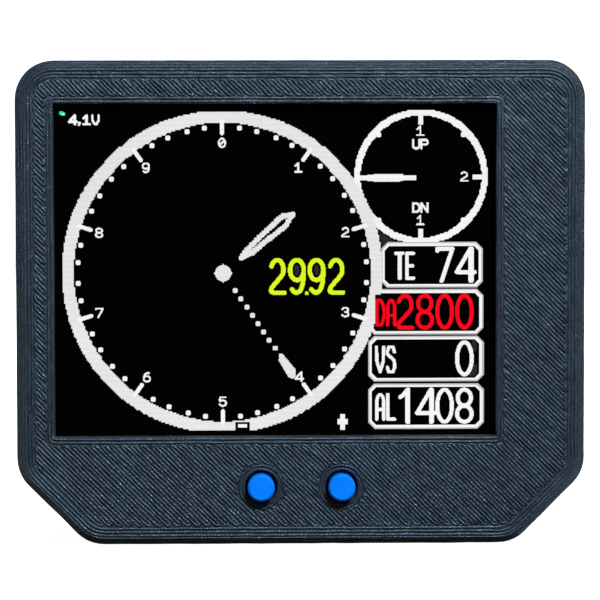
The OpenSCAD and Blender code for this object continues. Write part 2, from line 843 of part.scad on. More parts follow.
// Button: stem with a bevelled tip, a flange under the steel plate and a nub on the dome
module button() {
    stem_r = button_dia / 2;
    flange_bottom = base_top - flange_gap - flange_t;
    nub_bottom = base_floor + dome_h + nub_gap;
    color("#027afb") {
        translate([0, 0, nub_bottom]) cylinder(h = flange_bottom + flange_t - nub_bottom, r = nub_r);
        translate([0, 0, flange_bottom]) cylinder(h = flange_t, r = flange_r);
        translate([0, 0, flange_bottom]) cylinder(h = switch_h - tip_bevel - flange_bottom, r = stem_r);
        translate([0, 0, switch_h - tip_bevel]) cylinder(h = tip_bevel, r1 = stem_r, r2 = stem_r - tip_bevel);
    }
}

front_housing();
rear_cover();
cover_screws();
cover_inserts();
board_screws();
mount_inserts();
display_cell();
display_backlight();
display_driver();
display_flex();
foam_strips();
main_board();
processor();
pressure_sensor();
charger_chip();
regulator_chip();
chip_leads();
chip_capacitors();
charging_shell();
charging_tongue();
battery_cell();
battery_tape();
battery_socket();
socket_pins();
battery_plug();
positive_lead();
negative_lead();
at_switch(-1) switch_base();  // left_switch_base
at_switch(1) switch_base();  // right_switch_base
at_switch(-1) switch_cover();  // left_switch_cover
at_switch(1) switch_cover();  // right_switch_cover
at_switch(-1) switch_legs();  // left_switch_legs
at_switch(1) switch_legs();  // right_switch_legs
at_switch(-1) contact_dome();  // left_contact_dome
at_switch(1) contact_dome();  // right_contact_dome
at_switch(-1) button();  // left_button
at_switch(1) button();  // right_button
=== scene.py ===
"""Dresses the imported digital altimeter: printed case, lit display, blue buttons and the parts inside."""

import json
import logging
import math
from dataclasses import dataclass, field
from enum import Enum
from typing import Callable, Iterable, Iterator, Sequence

import bmesh
import bpy
import numpy as np
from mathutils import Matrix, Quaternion, Vector


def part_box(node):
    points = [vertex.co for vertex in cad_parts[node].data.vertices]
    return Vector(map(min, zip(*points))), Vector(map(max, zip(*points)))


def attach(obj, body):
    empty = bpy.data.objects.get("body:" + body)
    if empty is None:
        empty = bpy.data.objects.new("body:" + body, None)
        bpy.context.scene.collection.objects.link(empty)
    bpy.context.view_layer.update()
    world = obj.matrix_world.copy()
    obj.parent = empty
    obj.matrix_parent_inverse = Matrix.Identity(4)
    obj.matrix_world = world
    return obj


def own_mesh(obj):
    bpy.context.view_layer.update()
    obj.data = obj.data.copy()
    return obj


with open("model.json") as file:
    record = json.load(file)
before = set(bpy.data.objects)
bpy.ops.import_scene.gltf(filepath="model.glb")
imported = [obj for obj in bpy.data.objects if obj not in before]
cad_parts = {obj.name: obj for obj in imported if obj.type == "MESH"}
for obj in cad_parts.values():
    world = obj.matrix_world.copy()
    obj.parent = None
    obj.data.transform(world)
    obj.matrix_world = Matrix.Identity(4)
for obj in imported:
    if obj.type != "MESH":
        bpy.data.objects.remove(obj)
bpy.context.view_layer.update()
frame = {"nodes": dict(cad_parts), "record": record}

Tree = bpy.types.NodeTree
Node = bpy.types.Node
Socket = bpy.types.NodeSocket
Material = bpy.types.Material
Point = tuple[float, float]
Hole = tuple[Point, float]

MM = 0.001
HOUSING = "housing"
WHITE = "#ffffff"
RANDOM = np.random.default_rng(seed=11)
# Weights of a point and its two neighbours in a smoothed random walk
SMOOTHING = (0.25, 0.5, 0.25)
# Sockets of a mix node for colours, whose names its other sockets share
MIX_SHARE, MIX_FIRST, MIX_SECOND, MIX_RESULT = 0, 6, 7, 2
# Radians that a wave node turns for one unit of length at a scale of one
WAVE_TURN = 20
log = logging.getLogger("altimeter")


def linear(code: str) -> tuple[float, float, float, float]:
    """Turns an sRGB hex colour into linear light.

    Args:
        code: Six hex digits after a hash sign.

    Returns:
        Linear red, green and blue, and an alpha of one.
    """
    parts = [int(code[place:place + 2], 16) / 255 for place in (1, 3, 5)]
    light = [part / 12.92 if part <= 0.04045 else ((part + 0.055) / 1.055) ** 2.4 for part in parts]
    return (*light, 1.0)


def add(tree: Tree, kind: str, settings: dict | None = None, links: dict | None = None) -> Node:
    """Adds one node with its settings and links.

    Args:
        tree: The node tree that takes the node.
        kind: Blender's name for the node.
        settings: Values of input sockets, by name or number, or of the node's own properties, by name.
        links: Output sockets that feed the node's inputs, by name or number.

    Returns:
        The new node.
    """
    node = tree.nodes.new(kind)
    for name, value in (settings or {}).items():
        if isinstance(name, int) or name in node.inputs:
            node.inputs[name].default_value = value
        else:
            setattr(node, name, value)
    for name, source in (links or {}).items():
        tree.links.new(source, node.inputs[name])
    return node


def blank(name: str) -> tuple[Material, Tree]:
    """Makes a material without nodes.

    Args:
        name: Its name.

    Returns:
        The material and its node tree.
    """
    material = bpy.data.materials.new(name)
    material.use_nodes = True
    material.node_tree.nodes.clear()
    return material, material.node_tree


def placed(name: str, data: bpy.types.ID) -> bpy.types.Object:
    """Adds an object to the scene.

    Args:
        name: Its name.
        data: Its mesh, lamp or camera.

    Returns:
        The object.
    """
    thing = bpy.data.objects.new(name, data)
    bpy.context.scene.collection.objects.link(thing)
    return thing


def box_mm(node: str) -> tuple[Vector, Vector]:
    """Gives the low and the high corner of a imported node, in millimetres."""
    low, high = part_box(node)
    return low / MM, high / MM


@dataclass(frozen=True)
class Ground:
    """The nodes that every pattern of a finish starts from."""

    tree: Tree
    places: Socket
    grain: Socket


@dataclass(frozen=True)
class Finish:
    """A surface whose colour, gloss and relief drift a little, as on every made surface."""

    name: str
    colour: str
    shade: str
    grain_mm: float
    roughness: float
    gloss_drift: float = 0.06
    ior: float = 1.5
    metallic: float = 0.0
    relief_mm: float = 0.0
    stretch: tuple[float, float, float] = (1.0, 1.0, 1.0)
    detail: float = 3.0
    gloss_tint: str = WHITE

    def material(self) -> Material:
        """Makes the material from a noise of the grain's real size.

        Returns:
            The new material.
        """
        material, tree = blank(self.name)
        place = add(tree, "ShaderNodeTexCoord")
        drawn = add(tree, "ShaderNodeMapping", {"Scale": self.stretch}, {"Vector": place.outputs["Object"]})
        noise = add(tree, "ShaderNodeTexNoise", {"Scale": 1 / (self.grain_mm * MM), "Detail": self.detail},
                    {"Vector": drawn.outputs["Vector"]})
        ground = Ground(tree, drawn.outputs["Vector"], noise.outputs["Fac"])
        colours = {MIX_FIRST: linear(self.colour), MIX_SECOND: linear(self.shade)}
        mixed = add(tree, "ShaderNodeMix", {"data_type": "RGBA", **colours}, {MIX_SHARE: ground.grain})
        tint = mixed.outputs[MIX_RESULT]
        smooth, rough = self.roughness - self.gloss_drift, self.roughness + self.gloss_drift
        gloss = add(tree, "ShaderNodeMapRange", {"To Min": smooth, "To Max": rough},
                    {"Value": self.sheen(ground)})
        surface = add(tree, "ShaderNodeBsdfPrincipled",
                      {"Metallic": self.metallic, "IOR": self.ior, "Specular Tint": linear(self.gloss_tint)},
                      {"Base Color": tint, "Roughness": gloss.outputs["Result"]})
        if self.relief_mm:
            relief = add(tree, "ShaderNodeBump", {"Distance": self.relief_mm * MM},
                         {"Height": self.relief(ground)})
            tree.links.new(relief.outputs["Normal"], surface.inputs["Normal"])
        self.dress(ground, surface, tint)
        add(tree, "ShaderNodeOutputMaterial", None, {"Surface": surface.outputs["BSDF"]})
        return material

    def sheen(self, ground: Ground) -> Socket:
        """Gives the socket of the share by which the roughness drifts."""
        return ground.grain

    def relief(self, ground: Ground) -> Socket:
        """Gives the socket of the height."""
        return ground.grain

    def dress(self, ground: Ground, surface: Node, tint: Socket) -> None:
        """Leaves the shader as it is; a finish that glows adds to it."""


@dataclass(frozen=True)
class PrintedFinish(Finish):
    """Extruded plastic: fine melt specks break the gloss along each strand."""

    # Both are drawn coarser than the real ones, so that they show
    speck_mm: float = 0.2
    melt_mm: float = 0.3
    fine_detail: float = 2.0
    melt_span: tuple[float, float] = (0.35, 0.65)

    def sheen(self, ground: Ground) -> Socket:
        """Takes the share from the melt, from the dullest to the brightest of it.

        Args:
            ground: The nodes that the pattern starts from.

        Returns:
            The socket of the share.
        """
        melt = add(ground.tree, "ShaderNodeTexNoise",
                   {"Scale": 1 / (self.melt_mm * MM), "Detail": self.fine_detail}, {"Vector": ground.places})
        dull, bright = self.melt_span
        spread = add(ground.tree, "ShaderNodeMapRange", {"From Min": dull, "From Max": bright},
                     {"Value": melt.outputs["Fac"]})
        return spread.outputs["Result"]

    def relief(self, ground: Ground) -> Socket:
        """Adds the specks to the slow waves of the strand.

        Args:
            ground: The nodes that the pattern starts from.

        Returns:
            The socket of the height.
        """
        speck = add(ground.tree, "ShaderNodeTexNoise",
                    {"Scale": 1 / (self.speck_mm * MM), "Detail": self.fine_detail},
                    {"Vector": ground.places})
        both = add(ground.tree, "ShaderNodeMath", {"operation": "ADD"},
                   {0: ground.grain, 1: speck.outputs["Fac"]})
        return both.outputs["Value"]


@dataclass(frozen=True)
class CellFinish(Finish):
    """Open foam: rounded cells with thin walls."""

    def relief(self, ground: Ground) -> Socket:
        """Takes the height from the cells."""
        cells = add(ground.tree, "ShaderNodeTexVoronoi", {"Scale": 1 / (self.grain_mm * MM)},
                    {"Vector": ground.places})
        return cells.outputs["Distance"]


@dataclass(frozen=True)
class WeaveFinish(Finish):
    """Cloth tape: two crossing sets of threads."""

    # Drawn coarser than the real threads, so that they show
    thread_mm: float = 0.59

    def relief(self, ground: Ground) -> Socket:
        """Multiplies the two sets of threads.

        Args:
            ground: The nodes that the pattern starts from.

        Returns:
            The socket of the height.
        """
        scale = math.tau / (WAVE_TURN * self.thread_mm * MM)
        sets = [
            add(ground.tree, "ShaderNodeTexWave", {"bands_direction": axis, "Scale": scale},
                {"Vector": ground.places})
            for axis in ("X", "Z")
        ]
        cloth = add(ground.tree, "ShaderNodeMath", {"operation": "MULTIPLY"},
                    {place: threads.outputs["Fac"] for place, threads in enumerate(sets)})
        return cloth.outputs["Value"]


@dataclass(frozen=True)
class LitFinish(Finish):
    """Lit cells of a liquid crystal panel, with rows that differ a little in strength."""

    roughness: float = 0.12
    gloss_drift: float = 0.02
    ior: float = 1.12
    # About four rows of cells, because one row is too fine to show
    row_mm: float = 0.71
    weakest: float = 0.95
    unlit: str = "#050505"

    def dress(self, ground: Ground, surface: Node, tint: Socket) -> None:
        """Makes the cells glow in their own colour, row by row.

        Args:
            ground: The nodes that the pattern starts from.
            surface: The shader of the surface.
            tint: The socket of the colour.
        """
        tree = ground.tree
        scale = math.tau / (WAVE_TURN * self.row_mm * MM)
        rows = add(tree, "ShaderNodeTexWave", {"bands_direction": "Z", "Scale": scale, "Distortion": 0.0},
                   {"Vector": ground.places})
        strength = add(tree, "ShaderNodeMapRange", {"To Min": self.weakest}, {"Value": rows.outputs["Fac"]})
        tree.links.new(tint, surface.inputs["Emission Color"])
        tree.links.new(strength.outputs["Result"], surface.inputs["Emission Strength"])
        tree.links.remove(surface.inputs["Base Color"].links[0])
        surface.inputs["Base Color"].default_value = linear(self.unlit)


# PLA print: satin, dark blue-grey, with the gloss broken by every strand; its gloss is tinted pale blue as
# painted light, standing in for the bluish light that it reflects
PRINTED_PLA = PrintedFinish("printed_pla", "#16202a", "#23303d", 5.0, 0.42, 0.16, 1.7, relief_mm=0.1,
                            gloss_tint="#c6e2fc")
# Moulded ABS: even and bright with a soft gloss
BLUE_ABS = Finish("moulded_blue_abs", "#0074f4", "#007efc", 2.0, 0.32, 0.04, 1.3, relief_mm=0.004)
# Coated glass over a dark panel: black, with hardly a reflection
PANEL_GLASS = Finish("coated_panel_glass", "#010101", "#020202", 20.0, 0.12, 0.03, 1.12)
# Moulded polycarbonate: white and even, with a satin gloss
WHITE_POLYCARBONATE = Finish("moulded_polycarbonate", "#e2e4e2", "#d6d8d6", 3.0, 0.38, ior=1.58,
                             relief_mm=0.004)
# Polyimide film: amber, smooth, with the copper showing through in darker streaks
AMBER_FILM = Finish("polyimide_film", "#b4701f", "#8a4d12", 1.2, 0.3, ior=1.7, stretch=(0.1, 1.0, 1.0))
# Polyurethane foam: dark, matt and open
DARK_FOAM = CellFinish("polyurethane_foam", "#26282a", "#1b1c1e", 0.5, 0.9, ior=1.45, relief_mm=0.2)
# Solder mask on glass cloth: green, glossy, uneven over the copper
SOLDER_MASK = Finish("green_solder_mask", "#14452c", "#1d5c3a", 1.6, 0.28, ior=1.55, relief_mm=0.015)
# Moulded epoxy: black with a fine sandy bloom
CHIP_EPOXY = Finish("moulded_epoxy", "#1b1c1f", "#26272a", 0.25, 0.62, relief_mm=0.006)
# Tinned copper: bright, soft, with a wandering gloss
TINNED_COPPER = Finish("tinned_copper", "#bbbdc0", "#cfd1d2", 0.6, 0.3, 0.1, metallic=1.0, relief_mm=0.004)
# Rolled stainless steel: fine lines along the strip
ROLLED_STEEL = Finish("rolled_stainless_steel", "#c4c6c8", "#d4d5d6", 0.3, 0.28, 0.1, metallic=1.0,
                      relief_mm=0.003, stretch=(1.0, 1.0, 0.06))
# Steel painted dark grey as painted shade, so that the gap round a stem stays deep
SHADE_DARKENED_STEEL = Finish("shade_darkened_steel", "#2a2725", "#37322e", 0.8, 0.42, 0.1, metallic=1.0,
                         relief_mm=0.004)
# Zinc-plated steel: greyer, with a slight bloom
PLATED_STEEL = Finish("zinc_plated_steel", "#8d9195", "#a3a6a8", 0.8, 0.34, 0.1, metallic=1.0,
                      relief_mm=0.004)
# Turned brass: warm yellow with a fine uneven gloss
TURNED_BRASS = Finish("turned_brass", "#b08d3c", "#c7a452", 0.4, 0.3, 0.1, metallic=1.0, relief_mm=0.004)
# Gold plate on copper: warm, bright and even
GOLD_PLATE = Finish("gold_plate", "#c79f45", "#dab65c", 0.4, 0.25, 0.06, metallic=1.0, relief_mm=0.002)
# Fired ceramic: tan and slightly chalky
FIRED_CERAMIC = Finish("fired_ceramic", "#a58a63", "#b79a70", 0.4, 0.55, ior=1.6, relief_mm=0.004)
# Laminated foil pouch: silvery and softly dented
POUCH_FOIL = Finish("laminated_foil", "#9fa4a9", "#b5b9bc", 5.0, 0.36, 0.1, metallic=0.85, relief_mm=0.08)
# Cloth tape: cream threads under the adhesive
CLOTH_TAPE = WeaveFinish("cloth_tape", "#d8d1b8", "#c8bfa2", 0.3, 0.8, ior=1.45, relief_mm=0.03)
# Moulded nylon: milky white, satin
WHITE_NYLON = Finish("moulded_nylon", "#e5e3da", "#d9d6cb", 1.5, 0.45, ior=1.53, relief_mm=0.004)
# Silicone lead covers: soft, matt sheen
RED_SILICONE = Finish("red_silicone", "#b2201c", "#981713", 1.0, 0.5, ior=1.41, relief_mm=0.004)
BLACK_SILICONE = Finish("black_silicone", "#17181a", "#222326", 1.0, 0.5, ior=1.41, relief_mm=0.004)
# Lit panel cells: whites of three strengths, red, lime and signal green, each a little uneven
WHITE_CELLS = LitFinish("lit_white_cells", "#f4f4f4", WHITE, 9.0)
PALE_CELLS = LitFinish("lit_pale_cells", "#e0e0e0", "#f4f4f4", 9.0)
GREY_CELLS = LitFinish("lit_grey_cells", "#b8b8b8", "#cccccc", 9.0)
RED_CELLS = LitFinish("lit_red_cells", "#fc0420", "#ff0018", 2.0)
LIME_CELLS = LitFinish("lit_lime_cells", "#f6ff10", "#cafa2c", 1.1)
GREEN_CELLS = LitFinish("lit_green_cells", "#00e88c", "#30f4a8", 0.5)
# Dark panel cells that leak a little light
DIM_CELLS = LitFinish("leaking_dark_cells", "#212422", "#2c2e2c", 1.0)

SLOT_FINISHES = {
    "printed_case": PRINTED_PLA,
    "blue_stem": BLUE_ABS,
    "display_glass": PANEL_GLASS,
    "white_tray": WHITE_POLYCARBONATE,
    "flex_film": AMBER_FILM,
    "foam": DARK_FOAM,
    "board_mask": SOLDER_MASK,
    "chip_black": CHIP_EPOXY,
    "tinned_metal": TINNED_COPPER,
    "spring_steel": ROLLED_STEEL,
    "screw_steel": PLATED_STEEL,
    "insert_brass": TURNED_BRASS,
    "capacitor_ceramic": FIRED_CERAMIC,
    "pouch_foil": POUCH_FOIL,
    "tape": CLOTH_TAPE,
    "white_nylon": WHITE_NYLON,
    "red_cover": RED_SILICONE,
    "black_cover": BLACK_SILICONE,
}


class Finishes:
    """Makes each material once."""

    def __init__(self) -> None:
        """Starts with no material made."""
        self.made: dict[str, Material] = {}

    def get(self, finish: Finish) -> Material:
        """Gives the material of a finish.

        Args:
            finish: The finish.

        Returns:
            Its material, which is made at the first call.
        """
        if finish.name not in self.made:
            self.made[finish.name] = finish.material()
        return self.made[finish.name]


@dataclass
class Shell:
    """Points and faces of one piece while it is built, in millimetres."""

    name: str
    points: list[np.ndarray] = field(default_factory=list)
    faces: list[list[int]] = field(default_factory=list)
    count: int = 0

    def skin(self, rows: np.ndarray, closed: bool) -> None:
        """Skins a row of rings, each a closed cross-section.

        Args:
            rows: Points by station, place in the ring and axis.
            closed: Whether the last ring joins the first.
        """
        stations, ring, _ = rows.shape
        base = self.count
        self.points.append(rows.reshape(-1, 3))
        self.count += stations * ring
        first = np.arange(stations if closed else stations - 1)
        here = base + first[:, None] * ring
        there = base + ((first + 1) % stations)[:, None] * ring
        place = np.arange(ring)[None, :]
        after = (place + 1) % ring
        quads = np.stack([here + place, here + after, there + after, there + place], axis=-1)
        self.faces.extend(quads.reshape(-1, 4).tolist())
        if not closed:
            end = base + (stations - 1) * ring
            self.faces.append(list(range(base, base + ring)))
            self.faces.append(list(range(end, end + ring)))

    def block(self, low: Sequence[float], high: Sequence[float]) -> None:
        """Adds a closed bar.

        Args:
            low: Its low corner.
            high: Its high corner.
        """
        (x0, y0, z0), (x1, y1, z1) = low, high
        ends = [[(x, y0, z0), (x, y1, z0), (x, y1, z1), (x, y0, z1)] for x in (x0, x1)]
        self.skin(np.array(ends), False)

    def piece(self, material: Material, slot: str, smooth: bool = True) -> None:
        """Turns the shell into a piece that rides on the housing.

        Args:
            material: What the piece is made of.
            slot: The record's slot for it; not used.
            smooth: Whether its faces are shaded as one round surface.
        """
        mesh = bpy.data.meshes.new(self.name)
        mesh.from_pydata((np.concatenate(self.points) * MM).tolist(), [], self.faces)
        work = bmesh.new()
        work.from_mesh(mesh)
        bmesh.ops.recalc_face_normals(work, faces=work.faces)
        work.to_mesh(mesh)
        work.free()
        mesh.polygons.foreach_set("use_smooth", [smooth] * len(mesh.polygons))
        mesh.materials.append(material)
        piece = placed(self.name, mesh)
        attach(piece, HOUSING)
        log.info("%s: %d faces on %s", self.name, len(mesh.polygons), HOUSING)


def drift(count: int) -> np.ndarray:
    """Gives a random walk round zero that changes slowly from point to point."""
    raw = RANDOM.normal(size=count + len(SMOOTHING) - 1)
    return np.convolve(raw, SMOOTHING, "valid")


def spaced(points: np.ndarray, step: float, closed: bool) -> np.ndarray:
    """Adds points along the straight stretches of a path.

    Args:
        points: The path's points, which may carry directions in further columns.
        step: The longest distance between neighbours.
        closed: Whether the path returns to its start.

    Returns:
        The path with its new points.
    """
    ends = np.roll(points, -1, axis=0) if closed else points[1:]
    parts = []
    for start, end in zip(points, ends):
        pieces = max(1, math.ceil(np.linalg.norm(end - start) / step))
        parts.append(start + (end - start) * (np.arange(pieces) / pieces)[:, None])
    if not closed:
        parts.append(points[-1:])
    return np.concatenate(parts)


def rounded(points: np.ndarray, reach: float) -> np.ndarray:
    """Turns each inner corner of an open path into a small curve.

    Args:
        points: The path's corners.
        reach: How far from a corner its curve starts.

    Returns:
        The path with three points for each corner.
    """
    result = [points[:1]]
    for before, corner, after in zip(points[:-2], points[1:-1], points[2:]):
        sides = []
        for other in (before, after):
            length = np.linalg.norm(other - corner)
            sides.append(corner + (other - corner) * min(reach / length, 0.5))
        middle = (sides[0] + 2 * corner + sides[1]) / 4
        result.append(np.array([sides[0], middle, sides[1]]))
    result.append(points[-1:])
    return np.concatenate(result)


def asides(points: np.ndarray, closed: bool) -> np.ndarray:
    """Finds the directions to the left of a path.

    Args:
        points: The path in two directions.
        closed: Whether the path returns to its start.

    Returns:
        A unit direction for each point.
    """
    if closed:
        ahead = np.roll(points, -1, axis=0) - np.roll(points, 1, axis=0)
    else:
        ahead = np.gradient(points, axis=0)
    ahead = ahead / np.linalg.norm(ahead, axis=1, keepdims=True)
    return np.column_stack([-ahead[:, 1], ahead[:, 0]])


def upright(flat: np.ndarray, y: float) -> np.ndarray:
    """Gives points or directions in X and Z one value along Y."""
    return np.column_stack([flat[:, 0], np.full(len(flat), y), flat[:, 1]])


@dataclass(frozen=True)
class Face:
    """One flat face of the case and how its lines run, in millimetres.

    The signs say which way the face looks along Y and which way its slanting lines lean.
    """

    y: float
    facing: int
    bevel: float
    lean: int
    line: float
    infill_step: float
    outline_step: float


@dataclass(frozen=True)
class Strand:
    """One printed line: a rounded ridge that lies on a surface.

    Its cover is the share of the pitch of the lines that it takes, and its unevenness is a share too. Its
    other sizes are in millimetres.
    """

    cover: float
    height: float
    uneven: float = 0.0
    wander: float = 0.0
    sink: float = 0.05

    # Cross-section of the ridge, as shares of its width and height
    ACROSS = np.array([-0.5, -0.33, -0.11, 0.11, 0.33, 0.5])
    RISE = np.array([0.0, 0.58, 1.0, 1.0, 0.58, 0.0])
    # Limits of the drift of height and width, and the width's share of the unevenness
    HEIGHT_SPAN = (0.25, 2.0)
    WIDTH_SPAN = (0.6, 1.15)
    WIDTH_SHARE = 0.3

    def lay(self, shell: Shell, pitch: float, path: np.ndarray, across: np.ndarray, normal: np.ndarray,
            closed: bool) -> None:
        """Sweeps the ridge along a path.

        Args:
            shell: The piece that takes the ridge.
            pitch: The distance from line to line.
            path: Points on the surface.
            across: Unit directions along the surface, square to the path.
            normal: Unit directions out of the surface.
            closed: Whether the path returns to its start.
        """
        count = len(path)
        high = self.height * np.clip(1 + self.uneven * drift(count), *self.HEIGHT_SPAN)
        wide = np.clip(1 + self.WIDTH_SHARE * self.uneven * drift(count), *self.WIDTH_SPAN)
        path = path + across * (self.wander * drift(count))[:, None]
        rise = self.RISE[None, :] * high[:, None] - np.where(self.RISE == 0, self.sink, 0)[None, :]
        reach = self.ACROSS[None, :] * (self.cover * pitch * wide)[:, None]
        rows = path[:, None, :] + across[:, None, :] * reach[:, :, None]
        shell.skin(rows + normal[:, None, :] * rise[:, :, None], closed)

    def lay_flat(self, shell: Shell, points: np.ndarray, face: Face, closed: bool) -> None:
        """Lays the ridge on a flat face.

        Args:
            shell: The piece that takes the ridge.
            points: The path in X and Z.
            face: The face.
            closed: Whether the path returns to its start.
        """
        across = upright(asides(points, closed), 0.0)
        normal = np.tile([0.0, face.facing, 0.0], (len(points), 1))
        self.lay(shell, face.line, upright(points, face.y), across, normal, closed)

    def lay_round(self, shell: Shell, layer: float, points: np.ndarray, outward: np.ndarray, y: float,
                  closed: bool) -> None:
        """Lays the ridge round a wall that runs along Y.

        Args:
            shell: The piece that takes the ridge.
            layer: The thickness of a layer.
            points: The path in X and Z.
            outward: Unit directions out of the wall, in X and Z.
            y: Where the ridge is.
            closed: Whether the path returns to its start.
        """
        across = np.tile([0.0, 1.0, 0.0], (len(points), 1))
        self.lay(shell, layer, upright(points, y), across, upright(outward, 0.0), closed)


@dataclass
class Pass:
    """One line of an infill, with the path that ends in it.

    The ends are places along the line, and the exit is the number of the end where the printer leaves it.
    """

    corners: list[np.ndarray]
    ends: tuple[float, float]
    exit: int
    used: bool = False

    def leads_to(self, ends: tuple[float, float], turn: float) -> bool:
        """Says whether the printer can turn round into a line that has these ends."""
        return not self.used and abs(self.ends[self.exit] - ends[self.exit]) < turn


@dataclass
class CaseForm:
    """Outline of the case, as the solids have it, in millimetres."""

    corner_radius: float = 5.0
    corner_cut: float = 9.25
    arc_step: float = 9.0

    def __post_init__(self) -> None:
        """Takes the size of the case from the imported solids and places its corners."""
        low, high = box_mm("front_housing")
        self.half_width = high.x
        self.height = high.z
        self.front = low.y
        self.seam = high.y
        self.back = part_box("rear_cover")[1].y / MM
        side = self.half_width - self.corner_radius
        cut_line = self.half_width - self.corner_cut - self.corner_radius * math.sqrt(2)
        foot = cut_line + self.corner_radius
        rise = side - cut_line
        # Corner centres anticlockwise from the upper right, with the directions square to their two edges
        self.corners = [
            ((side, self.height - self.corner_radius), 0, 90),
            ((-side, self.height - self.corner_radius), 90, 180),
            ((-side, rise), 180, 225),
            ((-foot, self.corner_radius), 225, 270),
            ((foot, self.corner_radius), 270, 315),
            ((side, rise), 315, 360),
        ]

    def outline(self, inset: float) -> tuple[np.ndarray, np.ndarray]:
        """Gives the outline from the top of the right side round to its foot.

        Args:
            inset: How far inside the outer edge it runs.

        Returns:
            Points in X and Z, and the outward directions there.
        """
        points, outward = [], []
        for centre, start, end in self.corners:
            steps = round((end - start) / self.arc_step)
            angles = np.radians(np.linspace(start, end, steps + 1))
            way = np.column_stack([np.cos(angles), np.sin(angles)])
            points.append(np.array(centre) + way * (self.corner_radius - inset))
            outward.append(way)
        return np.concatenate(points), np.concatenate(outward)

    def depth(self, x: np.ndarray, z: np.ndarray) -> np.ndarray:
        """Measures how far points lie inside the outer edge.

        Args:
            x: Places along X.
            z: Places along Z.

        Returns:
            The distances, below zero outside.
        """
        centres = [np.array(centre) for centre, _, _ in self.corners]
        nearest = np.full(x.shape, np.inf)
        within = np.ones(x.shape, bool)
        for start, end in zip(centres, centres[1:] + centres[:1]):
            edge = end - start
            share = ((x - start[0]) * edge[0] + (z - start[1]) * edge[1]) / edge.dot(edge)
            share = np.clip(share, 0, 1)
            gap = np.hypot(x - start[0] - share * edge[0], z - start[1] - share * edge[1])
            nearest = np.minimum(nearest, gap)
            within &= edge[0] * (z - start[1]) - edge[1] * (x - start[0]) >= 0
        return self.corner_radius + np.where(within, nearest, -nearest)


